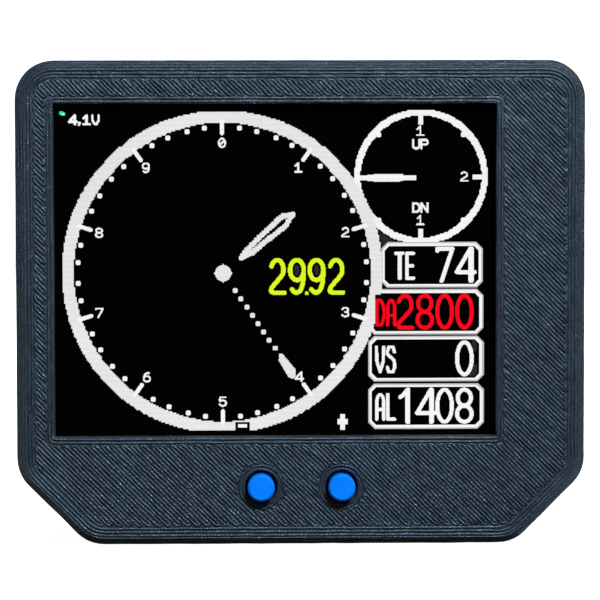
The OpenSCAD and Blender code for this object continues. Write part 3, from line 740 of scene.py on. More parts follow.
@dataclass
class PrintedCase:
    """Lines that the printer left on the front housing and the rear cover, in millimetres."""

    form: CaseForm
    material: Material
    line: float = 0.45
    layer: float = 0.25
    face_infill: Strand = Strand(0.94, height=0.17, uneven=0.45, wander=0.04)
    face_outline: Strand = Strand(0.94, height=0.16, uneven=0.4, wander=0.02)
    button_ring: Strand = Strand(0.75, height=0.24, uneven=0.3, wander=0.02)
    back_line: Strand = Strand(0.94, height=0.04, uneven=0.3, wander=0.02)
    bevel_layer: Strand = Strand(0.85, height=0.13, uneven=0.22, wander=0.01)
    wall_layer: Strand = Strand(1.0, height=0.03, uneven=0.25)
    opening_layer: Strand = Strand(1.0, height=0.025, uneven=0.3)
    front_bevel: float = 1.0
    rear_bevel: float = 0.6
    bevel_crowding: float = 1.25
    face_thickness: float = 2.0
    seam_gap: float = 0.12
    outer_lines: int = 3
    window_lines: int = 2
    ring_lines: int = 2
    slot_lines: int = 1
    # Gaps between the slanting lines and those along an edge, in lines
    rim_gap: float = 0.35
    window_gap: float = 0.3
    ring_gap: float = 0.2
    # Left, right, top and bottom borders of the glass that the case covers
    window_borders: tuple[float, float, float, float] = (2.9, 8.7, 3.4, 3.2)
    window_corner: float = 0.15
    stem_width: float = 3.5
    button_gap: float = 0.4
    pocket_width: float = 12.4
    pocket_height: float = 6.66
    pocket_step: float = 0.12
    slot_middle: Point = (-27.0, 42.0)
    slot_length: float = 9.0
    slot_height: float = 1.6
    slot_step: float = 3.2
    insert_radius: float = 2.85
    screw_radius: float = 2.35
    fit_gap: float = 0.05
    # Longest steps along the lines, first those of the slanting lines and of the outer edge
    front_steps: Point = (0.5, 0.6)
    back_steps: Point = (1.8, 1.5)
    window_step: float = 0.9
    bevel_step: float = 1.2
    wall_step: float = 5.0
    # How slanting lines are found and turned: reach in half widths, sampling, longest turn in lines
    sweep: float = 1.4
    sample_step: float = 0.04
    turn_lines: float = 2.6
    turn_reach: float = 0.22
    shortest_line: float = 0.3

    def __post_init__(self) -> None:
        """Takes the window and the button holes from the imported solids, and describes the two faces."""
        low, high = box_mm("display_cell")
        left, right, top, bottom = self.window_borders
        self.window = (low.x + left, low.z + bottom, high.x - right, high.z - top)
        # A stem is narrower than its foot inside the case, so its box doesn't give its width
        radius = self.stem_width / 2 + self.button_gap
        self.button_holes: list[Hole] = []
        for node in ("left_button", "right_button"):
            low, high = box_mm(node)
            self.button_holes.append((((low.x + high.x) / 2, (low.z + high.z) / 2), radius))
        self.front = Face(self.form.front, -1, self.front_bevel, -1, self.line, *self.front_steps)
        self.back = Face(self.form.back, 1, self.rear_bevel, 1, self.line, *self.back_steps)

    def dress(self) -> None:
        """Lays every printed line."""
        self.front_face()
        self.bevel("case_front_edge", self.front)
        self.bevel("cover_rear_edge", self.back)
        self.walls()
        self.openings()
        self.back_face()

    def finish(self, shell: Shell) -> None:
        """Makes a printed piece of the housing."""
        shell.piece(self.material, "printed_case")

    def rectangle(self, grow: float) -> np.ndarray:
        """Gives the window's outline with small round corners, from the middle of its foot.

        Args:
            grow: How far outside the window it runs.

        Returns:
            Points in X and Z.
        """
        x0, z0, x1, z1 = self.window
        left, foot, right, head = x0 - grow, z0 - grow, x1 + grow, z1 + grow
        start = ((left + right) / 2, foot)
        path = [start, (right, foot), (right, head), (left, head), (left, foot), start]
        return rounded(np.array(path), self.window_corner + grow)[:-1]

    @staticmethod
    def circle(middle: Point, radius: float, sides: int = 40) -> np.ndarray:
        """Gives the points of a circle in X and Z."""
        angles = np.linspace(0, math.tau, sides, endpoint=False)
        return np.array(middle) + radius * np.column_stack([np.cos(angles), np.sin(angles)])

    @staticmethod
    def slot(middle: Point, length: float, height: float, sides: int = 10) -> np.ndarray:
        """Gives the outline of a slot with round ends, long in X.

        Args:
            middle: Its middle in X and Z.
            length: Its whole length.
            height: Its height.
            sides: Straight sides of each round end.

        Returns:
            Points in X and Z.
        """
        angles = np.radians(np.linspace(-90, 90, sides + 1))
        end = np.column_stack([np.cos(angles), np.sin(angles)]) * height / 2
        shift = np.array([(length - height) / 2, 0])
        return np.array(middle) + np.concatenate([end + shift, -end - shift])

    def slots(self) -> list[Point]:
        """Gives the middles of the air slots."""
        return [(self.slot_middle[0], self.slot_middle[1] + row * self.slot_step) for row in (-1, 0, 1)]

    def fixings(self) -> list[Hole]:
        """Finds the holes of the fixings in the back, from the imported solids.

        Returns:
            The middle in X and Z and the radius of each.
        """
        holes = []
        for node, hole in (("mount_inserts", self.insert_radius), ("cover_screws", self.screw_radius)):
            low, high = box_mm(node)
            radius = hole - self.fit_gap
            rows = {round(low.z + radius, 3), round(high.z - radius, 3)}
            for x in (low.x + radius, high.x - radius):
                holes += [((x, z), hole) for z in sorted(rows)]
        return holes

    def clear(self, x: np.ndarray, z: np.ndarray, face: Face, holes: Sequence[Hole]) -> np.ndarray:
        """Finds the points that lie inside the lines along a face's edge and outside those round its holes.

        Args:
            x: Places along X.
            z: Places along Z.
            face: The face.
            holes: Its round holes.

        Returns:
            True for each such point.
        """
        free = self.form.depth(x, z) > face.bevel + (self.outer_lines + self.rim_gap) * self.line
        for middle, radius in holes:
            keep = radius + (self.ring_lines + self.ring_gap) * self.line
            free &= np.hypot(x - middle[0], z - middle[1]) > keep
        return free

    def zigzags(self, inside: Callable, lean: int) -> Iterator[np.ndarray]:
        """Fills a region with parallel lines that turn back at its edges, as a printer does.

        Args:
            inside: Says which points in X and Z are in the region.
            lean: The sign of the slope of the lines.

        Yields:
            The corners of each path.
        """
        along = np.array([1.0, lean]) / math.sqrt(2)
        aside = np.array([-lean, 1.0]) / math.sqrt(2)
        middle = np.array([0.0, self.form.height / 2])
        reach = self.sweep * self.form.half_width
        places = np.arange(-reach, reach, self.sample_step)
        turn = self.turn_lines * self.line
        last: list[Pass] = []
        for row in np.arange(-reach, reach, self.line):
            spots = middle + row * aside + places[:, None] * along
            mask = np.concatenate([[False], inside(spots[:, 0], spots[:, 1]), [False]])
            edges = np.flatnonzero(np.diff(mask.astype(int)))
            kept = []
            for start, end in zip(edges[::2], edges[1::2]):
                ends = (places[start], places[end - 1])
                if ends[1] - ends[0] < self.shortest_line:
                    continue
                match = next((line for line in last if line.leads_to(ends, turn)), None)
                if match:
                    match.used = True
                path = Pass(match.corners, ends, 1 - match.exit) if match else Pass([], ends, 1)
                for number in (1 - path.exit, path.exit):
                    path.corners.append(middle + row * aside + ends[number] * along)
                kept.append(path)
            yield from (np.array(path.corners) for path in last if not path.used)
            last = kept
        yield from (np.array(path.corners) for path in last)

    def infill(self, name: str, face: Face, strand: Strand, inside: Callable) -> None:
        """Fills a face with slanting lines.

        Args:
            name: The name of the piece.
            face: The face.
            strand: The line that is laid.
            inside: Says which points in X and Z are filled.
        """
        shell = Shell(name)
        for corners in self.zigzags(inside, face.lean):
            path = spaced(rounded(corners, self.turn_reach), face.infill_step, False)
            strand.lay_flat(shell, path, face, False)
        self.finish(shell)

    def rim(self, shell: Shell, face: Face, strand: Strand) -> None:
        """Runs the lines that follow the outer edge of a face.

        Args:
            shell: The piece that takes them.
            face: The face.
            strand: The line that is laid.
        """
        for number in range(self.outer_lines):
            points, _ = self.form.outline(face.bevel + (number + 0.5) * self.line)
            strand.lay_flat(shell, spaced(points, face.outline_step, True), face, True)

    def rings(self, shell: Shell, face: Face, strand: Strand, holes: Sequence[Hole]) -> None:
        """Runs the lines round the holes of a face.

        Args:
            shell: The piece that takes them.
            face: The face.
            strand: The line that is laid.
            holes: The round holes.
        """
        for middle, radius in holes:
            for number in range(self.ring_lines):
                points = self.circle(middle, radius + (number + 0.5) * self.line)
                strand.lay_flat(shell, points, face, True)

    def front_face(self) -> None:
        """Fills the front face, and follows its outer edge, the window and the button holes."""
        x0, z0, x1, z1 = self.window
        grow = (self.window_lines + self.window_gap) * self.line

        def inside(x: np.ndarray, z: np.ndarray) -> np.ndarray:
            """Says which points the slanting lines may cover."""
            beside = (x < x0 - grow) | (x > x1 + grow) | (z < z0 - grow) | (z > z1 + grow)
            return beside & self.clear(x, z, self.front, self.button_holes)

        self.infill("case_face_infill", self.front, self.face_infill, inside)
        shell = Shell("case_face_outlines")
        self.rim(shell, self.front, self.face_outline)
        for number in range(self.window_lines):
            points = self.rectangle((number + 0.5) * self.line)
            self.face_outline.lay_flat(shell, spaced(points, self.window_step, True), self.front, True)
        self.rings(shell, self.front, self.button_ring, self.button_holes)
        self.finish(shell)

    def bevel(self, name: str, face: Face) -> None:
        """Lays the layers of a face's bevel.

        Args:
            name: The name of the piece.
            face: The face.
        """
        shell = Shell(name)
        count = round(face.bevel / self.layer * self.bevel_crowding)
        pitch = face.bevel * math.sqrt(2) / count
        slope = math.sqrt(0.5)
        for number in range(count):
            share = (number + 0.5) / count
            both = spaced(np.hstack(self.form.outline(face.bevel * (1 - share))), self.bevel_step, True)
            points, outward = both[:, :2], both[:, 2:]
            outward = outward / np.linalg.norm(outward, axis=1, keepdims=True) * slope
            path = upright(points, face.y - face.facing * face.bevel * share)
            across, normal = (upright(outward, sign * face.facing * slope) for sign in (-1, 1))
            self.bevel_layer.lay(shell, pitch, path, across, normal, True)
        self.finish(shell)

    def walls(self) -> None:
        """Lays the layers of the side walls, open where the charging pocket is."""
        low, high = box_mm("charging_shell")
        pocket_y, pocket_z = (low.y + high.y) / 2, (low.z + high.z) / 2
        inner = self.pocket_height / 2 + self.layer / 2
        spans = {
            "case_wall_layers": (self.form.front + self.front_bevel, self.form.seam - self.seam_gap),
            "cover_wall_layers": (self.form.seam + self.seam_gap, self.form.back - self.rear_bevel),
        }
        points, outward = self.form.outline(0)
        for name, (start, end) in spans.items():
            shell = Shell(name)
            for y in np.arange(start + self.layer / 2, end, self.layer):
                ring, away = points, outward
                closed = abs(y - pocket_y) > inner
                if not closed:
                    half = (self.pocket_width - self.pocket_height) / 2
                    half += math.sqrt(max(inner ** 2 - (y - pocket_y) ** 2, 0))
                    # A second point close to each end keeps the shading of the end out of the long stretch
                    beyond = half + self.pocket_step
                    rise = np.array([half, beyond, -beyond, -half]) + pocket_z
                    ends = np.column_stack([np.full(len(rise), self.form.half_width), rise])
                    ring = np.vstack([ends[:2], points, ends[2:]])
                    away = np.vstack([outward[:1], outward[:1], outward, outward[-1:], outward[-1:]])
                both = spaced(np.hstack([ring, away]), self.wall_step, closed)
                self.wall_layer.lay_round(shell, self.layer, both[:, :2], both[:, 2:], y, closed)
            self.finish(shell)

    def openings(self) -> None:
        """Lays the layers on the sides of the window and of the button holes."""
        shell = Shell("case_opening_layers")
        first = self.form.front + self.layer / 2
        last = self.form.front + self.face_thickness
        circles = [self.circle(middle, radius) for middle, radius in self.button_holes]
        for loop in (self.rectangle(0.0), *circles):
            for y in np.arange(first, last, self.layer):
                self.opening_layer.lay_round(shell, self.layer, loop, asides(loop, True), y, True)
        self.finish(shell)

    def back_face(self) -> None:
        """Fills the back of the cover, and follows its outer edge, the fixings and the air slots."""
        fixings = self.fixings()
        half = (self.slot_length - self.slot_height) / 2
        keep = self.slot_height / 2 + (self.slot_lines + self.ring_gap) * self.line

        def inside(x: np.ndarray, z: np.ndarray) -> np.ndarray:
            """Says which points the slanting lines may cover.

            Args:
                x: Places along X.
                z: Places along Z.

            Returns:
                True for each point that they may cover.
            """
            free = self.clear(x, z, self.back, fixings)
            for middle in self.slots():
                past_end = np.maximum(np.abs(x - middle[0]) - half, 0)
                free &= np.hypot(past_end, z - middle[1]) > keep
            return free

        self.infill("cover_back_infill", self.back, self.back_line, inside)
        shell = Shell("cover_back_outlines")
        self.rim(shell, self.back, self.back_line)
        self.rings(shell, self.back, self.back_line, fixings)
        for middle in self.slots():
            for number in range(self.slot_lines):
                grow = (2 * number + 1) * self.line
                points = self.slot(middle, self.slot_length + grow, self.slot_height + grow)
                path = spaced(points, self.back.outline_step, True)
                self.back_line.lay_flat(shell, path, self.back, True)
        self.finish(shell)


@dataclass
class ContactDomes:
    """The two spring domes under the buttons, which click flat as their buttons go in."""

    flattened: float = 0.55

    def dress(self) -> None:
        """Gives each dome its own copy of its mesh."""
        for side in ("left", "right"):
            node = f"{side}_contact_dome"
            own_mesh(frame["nodes"][node])


@dataclass
class ChargingContacts:
    """Plated contacts on both faces of the tongue in the charging socket, in millimetres."""

    material: Material
    tongue: float = 0.7
    count: int = 12
    pitch: float = 0.5
    width: float = 0.26
    length: float = 3.6
    end_gap: float = 0.4
    thickness: float = 0.06

    def dress(self) -> None:
        """Lays the contacts along the tongue, half sunk into its faces."""
        low, high = box_mm("charging_tongue")
        end = high.x - self.end_gap
        shell = Shell("charging_contacts")
        for face in (-1, 1):
            y = (low.y + high.y + face * self.tongue) / 2
            for number in range(self.count):
                z = (low.z + high.z) / 2 + (number - (self.count - 1) / 2) * self.pitch
                shell.block((end - self.length, y - self.thickness / 2, z - self.width / 2),
                            (end, y + self.thickness / 2, z + self.width / 2))
        shell.piece(self.material, "insert_brass", False)


def arc(middle: Point, half_width: float, half_height: float, start: float, end: float) -> list[Point]:
    """Gives the points of a round stretch.

    Args:
        middle: The centre.
        half_width: The reach to the sides.
        half_height: The reach up and down.
        start: The first angle in degrees, from the right and then downwards.
        end: The last angle.

    Returns:
        Its points, about every 15 degrees.
    """
    step = 15
    angles = np.radians(np.linspace(start, end, round(abs(end - start) / step) + 1))
    u, v = middle
    return [(u + half_width * math.cos(angle), v + half_height * math.sin(angle)) for angle in angles]


# Strokes of each sign in a cell of this width and height, from its upper left corner
GLYPH_CELL = (4, 6)
GLYPHS: dict[str, list[list[Point]]] = {
    "0": [arc((2, 3), 2, 3, 0, 360)],
    "slash": [[(0.9, 4.3), (3.1, 1.7)]],
    "1": [[(0.2, 1.9), (2.1, 0), (2.1, 6)], [(0, 6), (4, 6)]],
    "bare 1": [[(0.7, 1.35), (1.5, 1), (2.6, 0)], [(2.6, 0), (2.6, 6)], [(2.9, 0), (2.9, 6)]],
    "2": [arc((2, 1.75), 1.8, 1.75, 200, 395) + [(0.15, 5.2), (0.15, 6), (4, 6)]],
    "3": [arc((1.9, 1.5), 1.8, 1.5, 200, 450) + arc((1.9, 4.5), 2, 1.5, 270, 520)],
    "4": [[(3.65, 0), (3.65, 6)], [(3.9, 0), (3.9, 6)], [(3.6, 0), (-0.1, 4.35), (4.8, 4.35)]],
    "5": [[(3.8, 0), (0.3, 0), (0.1, 2.6)] + arc((1.9, 4.1), 2, 1.9, 225, 520)],
    "6": [arc((2, 4.1), 2, 1.9, 0, 360), [(0, 4.1), (0.3, 2), (1.6, 0.3), (3.2, 0)]],
    "7": [[(0, 0.4), (0, 0), (4.1, 0)], [(4.1, 0), (1.2, 6)]],
    "8": [arc((2, 1.5), 1.8, 1.5, 0, 360), arc((2, 4.5), 2, 1.5, 0, 360)],
    "9": [arc((2, 1.85), 2, 1.85, 0, 360),
          [(4, 1.9), (3.8, 4.2), (3.1, 5.6), (2.2, 6), (1.3, 6), (0.5, 5.4)]],
    "A": [[(0, 6)] + arc((2, 2.2), 2, 2.2, 180, 360) + [(4, 6)], [(0, 3.6), (4, 3.6)]],
    "D": [[(1.8, 0), (0, 0), (0, 6)] + arc((1.8, 3), 2.2, 3, 90, -90)],
    "E": [[(4, 0), (0, 0), (0, 6), (4, 6)], [(0, 3), (3.4, 3)], [(0.5, 0), (0.5, 6)]],
    "L": [[(0, 0), (0, 6), (4, 6)], [(0.4, 0), (0.4, 6)]],
    "N": [[(0, 6), (0, 0), (4, 6), (4, 0)]],
    "P": [[(0, 6), (0, 0)] + arc((2.4, 1.7), 1.6, 1.7, -90, 90) + [(0, 3.4)]],
    "S": [[(4, 1.2), (3.2, 0), (0.8, 0), (0, 1.2), (0.4, 1.9), (3.6, 3.1),
           (4, 4), (4, 5), (3.2, 6), (0.8, 6), (0, 4.9)]],
    "T": [[(0, 0), (4, 0)], [(2, 0), (2, 6)], [(2.5, 0), (2.5, 6)]],
    "U": [[(0, 0)] + arc((2, 4.4), 2, 1.6, 180, 0) + [(4, 0)]],
    "V": [[(0, 0), (0.2, 3.4), (2, 6), (3.8, 3.4), (4, 0)]],
    "round V": [[(0, 0), (0, 3.2), (1.4, 6), (2.6, 6), (4, 3.2), (4, 0)]],
    ",": [[(1.6, 5), (2.2, 5.2), (1.7, 6.7)]],
}


class Lit(Enum):
    """The lit pieces of the picture, each with its name and finish."""

    DARK = ("dark", None)
    DIAL_RING = ("dial_ring", PALE_CELLS)
    DIAL_MARKS = ("dial_marks", WHITE_CELLS)
    DIAL_NUMBERS = ("dial_numbers", WHITE_CELLS)
    DIAL_POINTERS = ("dial_pointers", PALE_CELLS)
    CLIMB_DIAL = ("climb_dial", WHITE_CELLS)
    FRAMES = ("reading_frames", WHITE_CELLS)
    FRAME_EDGES = ("reading_frame_edges", GREY_CELLS)
    READINGS = ("white_readings", WHITE_CELLS)
    DENSITY = ("red_reading", RED_CELLS)
    SETTING = ("lime_setting", LIME_CELLS)
    BATTERY = ("battery_reading", WHITE_CELLS)
    SIGNAL = ("signal_dot", GREEN_CELLS)
    KEYS = ("key_signs", WHITE_CELLS)
    LEAKS = ("leaking_cells", DIM_CELLS)


@dataclass(frozen=True)
class Typeface:
    """Size of a line of signs, in cells of the panel."""

    width: float
    height: float
    pen: float
    advance: float
    soft: bool = False


@dataclass
class DisplayPicture:
    """The lit picture of a panel of 320 by 240 cells.

    Its left, top, glass, width, height and thickness are in millimetres. All else is in cells of the panel
    from its upper left corner.
    """

    left: float
    top: float
    glass: float
    width: float = 57.44
    height: float = 43.42
    thickness: float = 0.03
    columns: int = 320
    rows: int = 240
    finer: int = 2
    row_gap: float = 0.04
    blunt: float = 0.15
    soft_reach: float = 2.5
    dial: Point = (122.0, 121.7)
    dial_radius: float = 112.2
    dial_line: float = 8.5
    dial_stamps: int = 480
    dial_foot: float = 236.0
    dial_numbers: int = 10
    dots_between: int = 4
    tick_inner: float = 100.3
    tick_sunk: float = 3.0
    tick_line: float = 2.9
    dot_radius: float = 104.8
    dot: float = 3.5
    number_reach: Point = (94.0, 93.4)
    hub: Point = (122.5, 122.2)
    hub_radius: float = 5.9
    hub_bump: float = 6.0
    hub_bump_size: float = 1.5
    bead: float = 3.6
    bead_step: float = 2.8
    needle_dot_step: float = 7.3
    climb: Point = (266.5, 52.9)
    climb_radius: float = 46.3
    climb_line: float = 3.8
    climb_stamps: int = 360
    climb_mark_shift: float = 0.3
    climb_top_mark: float = 15.7
    climb_foot_mark: float = 90.6
    climb_right_mark: float = 303.8
    climb_dots_across: Point = (-30.9, 30.7)
    climb_dots_down: Point = (-30.2, 31.3)
    frame_right: float = 311.7
    frame_left: float = 227.9
    first_frame_left: float = 237.3
    frame_tops: tuple[float, float, float, float] = (100.2, 134.1, 168.0, 202.4)
    frame_lean: float = 0.3
    frame_height: float = 33.0
    frame_chamfer: float = 4.6
    frame_edge: float = 1.0
    frame_line: float = 2.7
    # How the right side and the cut corners of a frame's inner outlines follow their inset
    right_share: float = 1.15
    chamfer_share: float = 0.5
    figure_left: float = 248.0
    figure_drop: float = 3.2
    label_drop: float = 6.9
    setting: Point = (155.3, 111.2)
    setting_point: Point = (183.3, 136.9)
    setting_point_size: float = 2.7
    battery_top: float = 7.7
    signal: Point = (6.4, 7.1)
    signal_half: Point = (2.3, 1.5)
    glint: Point = (7.1, 7.5)
    glint_half: Point = (1.0, 0.7)
    signal_lean: float = 20.0

    SMALL = Typeface(6.0, 7.5, 1.25, 6.0)
    BOLD = Typeface(6.3, 7.8, 1.65, 6.0)
    LABEL = Typeface(7.5, 20.2, 2.25, 7.9)
    FIGURE = Typeface(13.7, 26.3, 2.9, 14.45, True)
    SETTING = Typeface(13.2, 26.8, 3.2, 14.25, True)

    def __post_init__(self) -> None:
        """Starts with a dark panel, whose cells are each split in finer ones."""
        self.cells = np.zeros((self.rows * self.finer, self.columns * self.finer), int)
        self.order = list(Lit)
        v, u = np.mgrid[0:self.rows * self.finer, 0:self.columns * self.finer]
        self.u, self.v = (u + 0.5) / self.finer, (v + 0.5) / self.finer

    def fine(self, low: float, high: float) -> slice:
        """Gives the fine rows or columns between two places."""
        return slice(max(round(low * self.finer), 0), max(round(high * self.finer), 0))

    def box(self, u0: float, v0: float, u1: float, v1: float, part: Lit) -> None:
        """Draws a filled rectangle."""
        self.cells[self.fine(v0, v1), self.fine(u0, u1)] = self.order.index(part)

    def spot(self, u: float, v: float, size: float, part: Lit, cut: float = 0.5) -> None:
        """Draws a square dot with its corners taken off.

        Args:
            u: Its middle across the panel.
            v: Its middle down the panel.
            size: Its side.
            part: The piece that takes it.
            cut: The side of what each corner loses.
        """
        half = size / 2
        self.box(u - half, v - half + cut, u + half, v + half - cut, part)
        self.box(u - half + cut, v - half, u + half - cut, v + half, part)

    def stamp_ring(self, middle: Point, radius: float, size: float, count: int, part: Lit) -> None:
        """Draws a ring as a round of blunt stamps on whole cells, which leaves small steps along its edges.

        Args:
            middle: Its middle.
            radius: Its radius along the middle of the line.
            size: The side of a stamp.
            count: How many stamps there are.
            part: The piece that takes it.
        """
        for angle in np.arange(count) * math.tau / count:
            u = round(middle[0] + radius * math.sin(angle))
            v = round(middle[1] - radius * math.cos(angle))
            self.spot(u, v, size, part, size * self.blunt)

    def stamp_line(self, path: Sequence[Point], size: float, step: float, part: Lit) -> None:
        """Draws a line as a row of dots, which leaves beads along its sides."""
        for u, v in spaced(np.array(path), step, False):
            self.spot(u, v, size, part)

    def polygon(self, corners: Sequence[Point], part: Lit) -> None:
        """Draws a filled convex shape.

        Args:
            corners: Its corners in clockwise order on the panel.
            part: The piece that takes it.
        """
        mask = np.ones(self.u.shape, bool)
        for (u0, v0), (u1, v1) in zip(corners, (*corners[1:], corners[0])):
            mask &= (u1 - u0) * (self.v - v0) - (v1 - v0) * (self.u - u0) >= 0
        self.cells[mask] = self.order.index(part)

    def ellipse(self, middle: Point, half: Point, lean: float, part: Lit) -> None:
        """Draws a filled ellipse.

        Args:
            middle: Its middle.
            half: Its two half widths.
            lean: How far it is turned, in degrees.
            part: The piece that takes it.
        """
        turn = math.radians(lean)
        across, down = self.u - middle[0], self.v - middle[1]
        along = across * math.cos(turn) + down * math.sin(turn)
        aside = down * math.cos(turn) - across * math.sin(turn)
        self.cells[(along / half[0]) ** 2 + (aside / half[1]) ** 2 <= 1] = self.order.index(part)

    def stroke(self, path: np.ndarray, pen: float, part: Lit) -> None:
        """Draws a line with a round pen.

        Args:
            path: The points of the line.
            pen: The width of the pen.
            part: The piece that takes it.
        """
        for start, end in zip(path[:-1], path[1:]):
            low, high = np.minimum(start, end) - pen, np.maximum(start, end) + pen
            area = (self.fine(low[1], high[1]), self.fine(low[0], high[0]))
            across, down = self.u[area] - start[0], self.v[area] - start[1]
            edge = end - start
            share = np.clip((across * edge[0] + down * edge[1]) / max(edge.dot(edge), 1e-9), 0, 1)
            near = np.hypot(across - share * edge[0], down - share * edge[1]) <= pen / 2
            self.cells[area][near] = self.order.index(part)

    def write(self, signs: Iterable[str], u: float, v: float, face: Typeface, part: Lit) -> None:
        """Writes a line of signs.

        Args:
            signs: The names of the signs.
            u: The left edge of the first sign.
            v: The top edge of the line.
            face: The size of the signs.
            part: The piece that takes them.
        """
        scale = np.array([face.width - face.pen, face.height - face.pen]) / GLYPH_CELL
        for number, sign in enumerate(signs):
            start = np.array([u + number * face.advance, v]) + face.pen / 2
            for strokes in GLYPHS[sign]:
                path = start + np.array(strokes, float) * scale
                # A stroke of two or three points keeps its sharp corner
                if face.soft and len(path) > 3:
                    path = rounded(path, self.soft_reach)
                self.stroke(path, face.pen, part)

    def reading_frame(self, left: float, row: int) -> None:
        """Draws one frame with cut corners: a grey outer line and a white inner one.

        Args:
            left: Its left side.
            row: Its number from the top.
        """
        top = self.frame_tops[row]
        right = self.frame_right + row * self.frame_lean
        outlines = ((0.0, Lit.FRAME_EDGES), (self.frame_edge, Lit.FRAMES), (self.frame_line, Lit.DARK))
        for inset, part in outlines:
            u0, u1 = left + inset, right - self.right_share * inset
            v0, v1 = top + inset, top + self.frame_height - inset
            cut = self.frame_chamfer - self.chamfer_share * inset
            corners = [(u0 + cut, v0), (u1 - cut, v0), (u1, v0 + cut), (u1, v1 - cut),
                       (u1 - cut, v1), (u0 + cut, v1), (u0, v1 - cut), (u0, v0 + cut)]
            self.polygon(corners, part)

    def climb_dial(self) -> None:
        """Draws the small dial with its marks, signs and pointer."""
        u, v = self.climb
        part = Lit.CLIMB_DIAL
        self.stamp_ring(self.climb, self.climb_radius, self.climb_line, self.climb_stamps, part)
        half, edge, shift = self.climb_line / 2, self.climb_radius, self.climb_mark_shift
        self.box(u - half - shift, v - edge, u + half - shift, self.climb_top_mark, part)
        self.box(u - half - shift, self.climb_foot_mark, u + half - shift, v + edge, part)
        self.box(self.climb_right_mark, v + shift - half, u + edge, v + shift + half, part)
        for across in self.climb_dots_across:
            for down in self.climb_dots_down:
                self.spot(u + across, v + down, self.dot, part)
        # Each line of signs with its left side from the middle of the dial and its top
        signs = (("1", -3.5, 16.1, self.SMALL), ("UP", -6.6, 25.6, self.BOLD), ("DN", -6.6, 71.4, self.BOLD),
                 ("1", -3.5, 80.5, self.SMALL), ("2", 28.4, 49.2, self.SMALL))
        for line, left, top, face in signs:
            self.write(line, u + left, top, face, part)
        shaft = (221.9, 51.8, 263.2, 55.5)
        blade = [(227.7, 51.4), (244.0, 50.8), (253.4, 51.1), (253.4, 56.1), (244.0, 56.7), (227.7, 56.1)]
        self.box(*shaft, part)
        self.polygon(blade, part)

    def main_dial(self) -> None:
        """Draws the large dial with its marks and numbers."""
        self.stamp_ring(self.dial, self.dial_radius, self.dial_line, self.dial_stamps, Lit.DIAL_RING)
        self.box(0, self.dial_foot, self.frame_left, self.rows, Lit.DARK)
        middle = np.array(self.dial)
        small = np.array([self.SMALL.width, self.SMALL.height])
        sector = 360 / self.dial_numbers
        for number in range(self.dial_numbers):
            out = self.bearing(sector * number)
            ends = (self.tick_inner, self.dial_radius - self.tick_sunk)
            self.stroke(np.array([middle + out * end for end in ends]), self.tick_line, Lit.DIAL_MARKS)
            for step in range(1, self.dots_between + 1):
                turn = round(sector * number + sector / (self.dots_between + 1) * step)
                self.spot(*(middle + self.bearing(turn) * self.dot_radius), self.dot, Lit.DIAL_MARKS)
            corner = middle + out * self.number_reach - small / 2
            self.write(str(number), *corner, self.SMALL, Lit.DIAL_NUMBERS)
            if number == 0:
                self.write(["slash"], *corner, self.SMALL, Lit.DIAL_NUMBERS)

    @staticmethod
    def bearing(degrees: float) -> np.ndarray:
        """Gives the direction on the panel of an angle from the top, clockwise."""
        return np.array([math.sin(math.radians(degrees)), -math.cos(math.radians(degrees))])

    def pointers(self) -> None:
        """Draws the hub, the short hollow pointer and the long dotted one."""
        part = Lit.DIAL_POINTERS
        self.ellipse(self.hub, (self.hub_radius, self.hub_radius), 0, part)
        for across, down in ((0, -1), (1, 0), (0, 1), (-1, 0)):
            self.spot(self.hub[0] + across * self.hub_bump, self.hub[1] + down * self.hub_bump,
                      self.hub_bump_size, part)
        base, tip = (135.8, 111.2), (173.3, 80.0)
        upper = [(138.3, 107.2), (148.7, 96.5), (158.0, 88.1), (162.6, 83.5), (166.5, 81.0)]
        lower = [(143.5, 107.5), (154.7, 98.4), (163.9, 91.4), (168.8, 87.4), (171.1, 82.4)]
        for side in (upper, lower):
            self.stamp_line([base, *side, tip], self.bead, self.bead_step, part)
        needle = [(131.3, 134.8), (160.1, 176.5)]
        blade = [(162.9, 180.8), (165.3, 180.4), (170.0, 186.0), (175.0, 191.8), (175.0, 197.4),
                 (172.4, 198.7), (169.7, 197.3), (165.7, 190.5), (162.7, 185.5)]
        self.stamp_line(needle, self.dot, self.needle_dot_step, part)
        self.polygon(blade, part)

    def readings(self) -> None:
        """Writes the numbers and labels of the four frames and the pressure setting."""
        # Each frame's label, figures by place, piece and the left side of its label
        rows = (("TE", ("", "", "7", "4"), Lit.READINGS, 246.9), ("DA", "2800", Lit.DENSITY, 233.1),
                ("VS", ("", "", "", "0"), Lit.READINGS, 232.9),
                ("AL", ("bare 1", "4", "0", "8"), Lit.READINGS, 233.0))
        for top, (label, figures, part, left) in zip(self.frame_tops, rows):
            self.write(label, left, top + self.label_drop, self.LABEL, part)
            for place, figure in enumerate(figures):
                if figure:
                    u = self.figure_left + place * self.FIGURE.advance
                    self.write([figure], u, top + self.figure_drop, self.FIGURE, part)
        self.write("2992", *self.setting, self.SETTING, Lit.SETTING)
        self.spot(*self.setting_point, self.setting_point_size, Lit.SETTING)

    def corner_signs(self) -> None:
        """Draws the battery reading, the signal dot and the signs over the two buttons."""
        for sign, left in (("4", 10.5), (",", 15.7), ("1", 20.8), ("round V", 27.4)):
            self.write([sign], left, self.battery_top, self.BOLD, Lit.BATTERY)
        self.ellipse(self.signal, self.signal_half, self.signal_lean, Lit.SIGNAL)
        self.ellipse(self.glint, self.glint_half, self.signal_lean, Lit.BATTERY)
        gap_in_ring = (131.0, 229.8, 141.6, 238.0)
        minus = (132.8, 231.4, 139.6, 234.2)
        plus_upright = (207.4, 224.4, 211.0, 236.2)
        plus_bar = (205.6, 228.2, 213.2, 232.2)
        self.box(*gap_in_ring, Lit.DARK)
        for bar in (minus, plus_upright, plus_bar):
            self.box(*bar, Lit.KEYS)

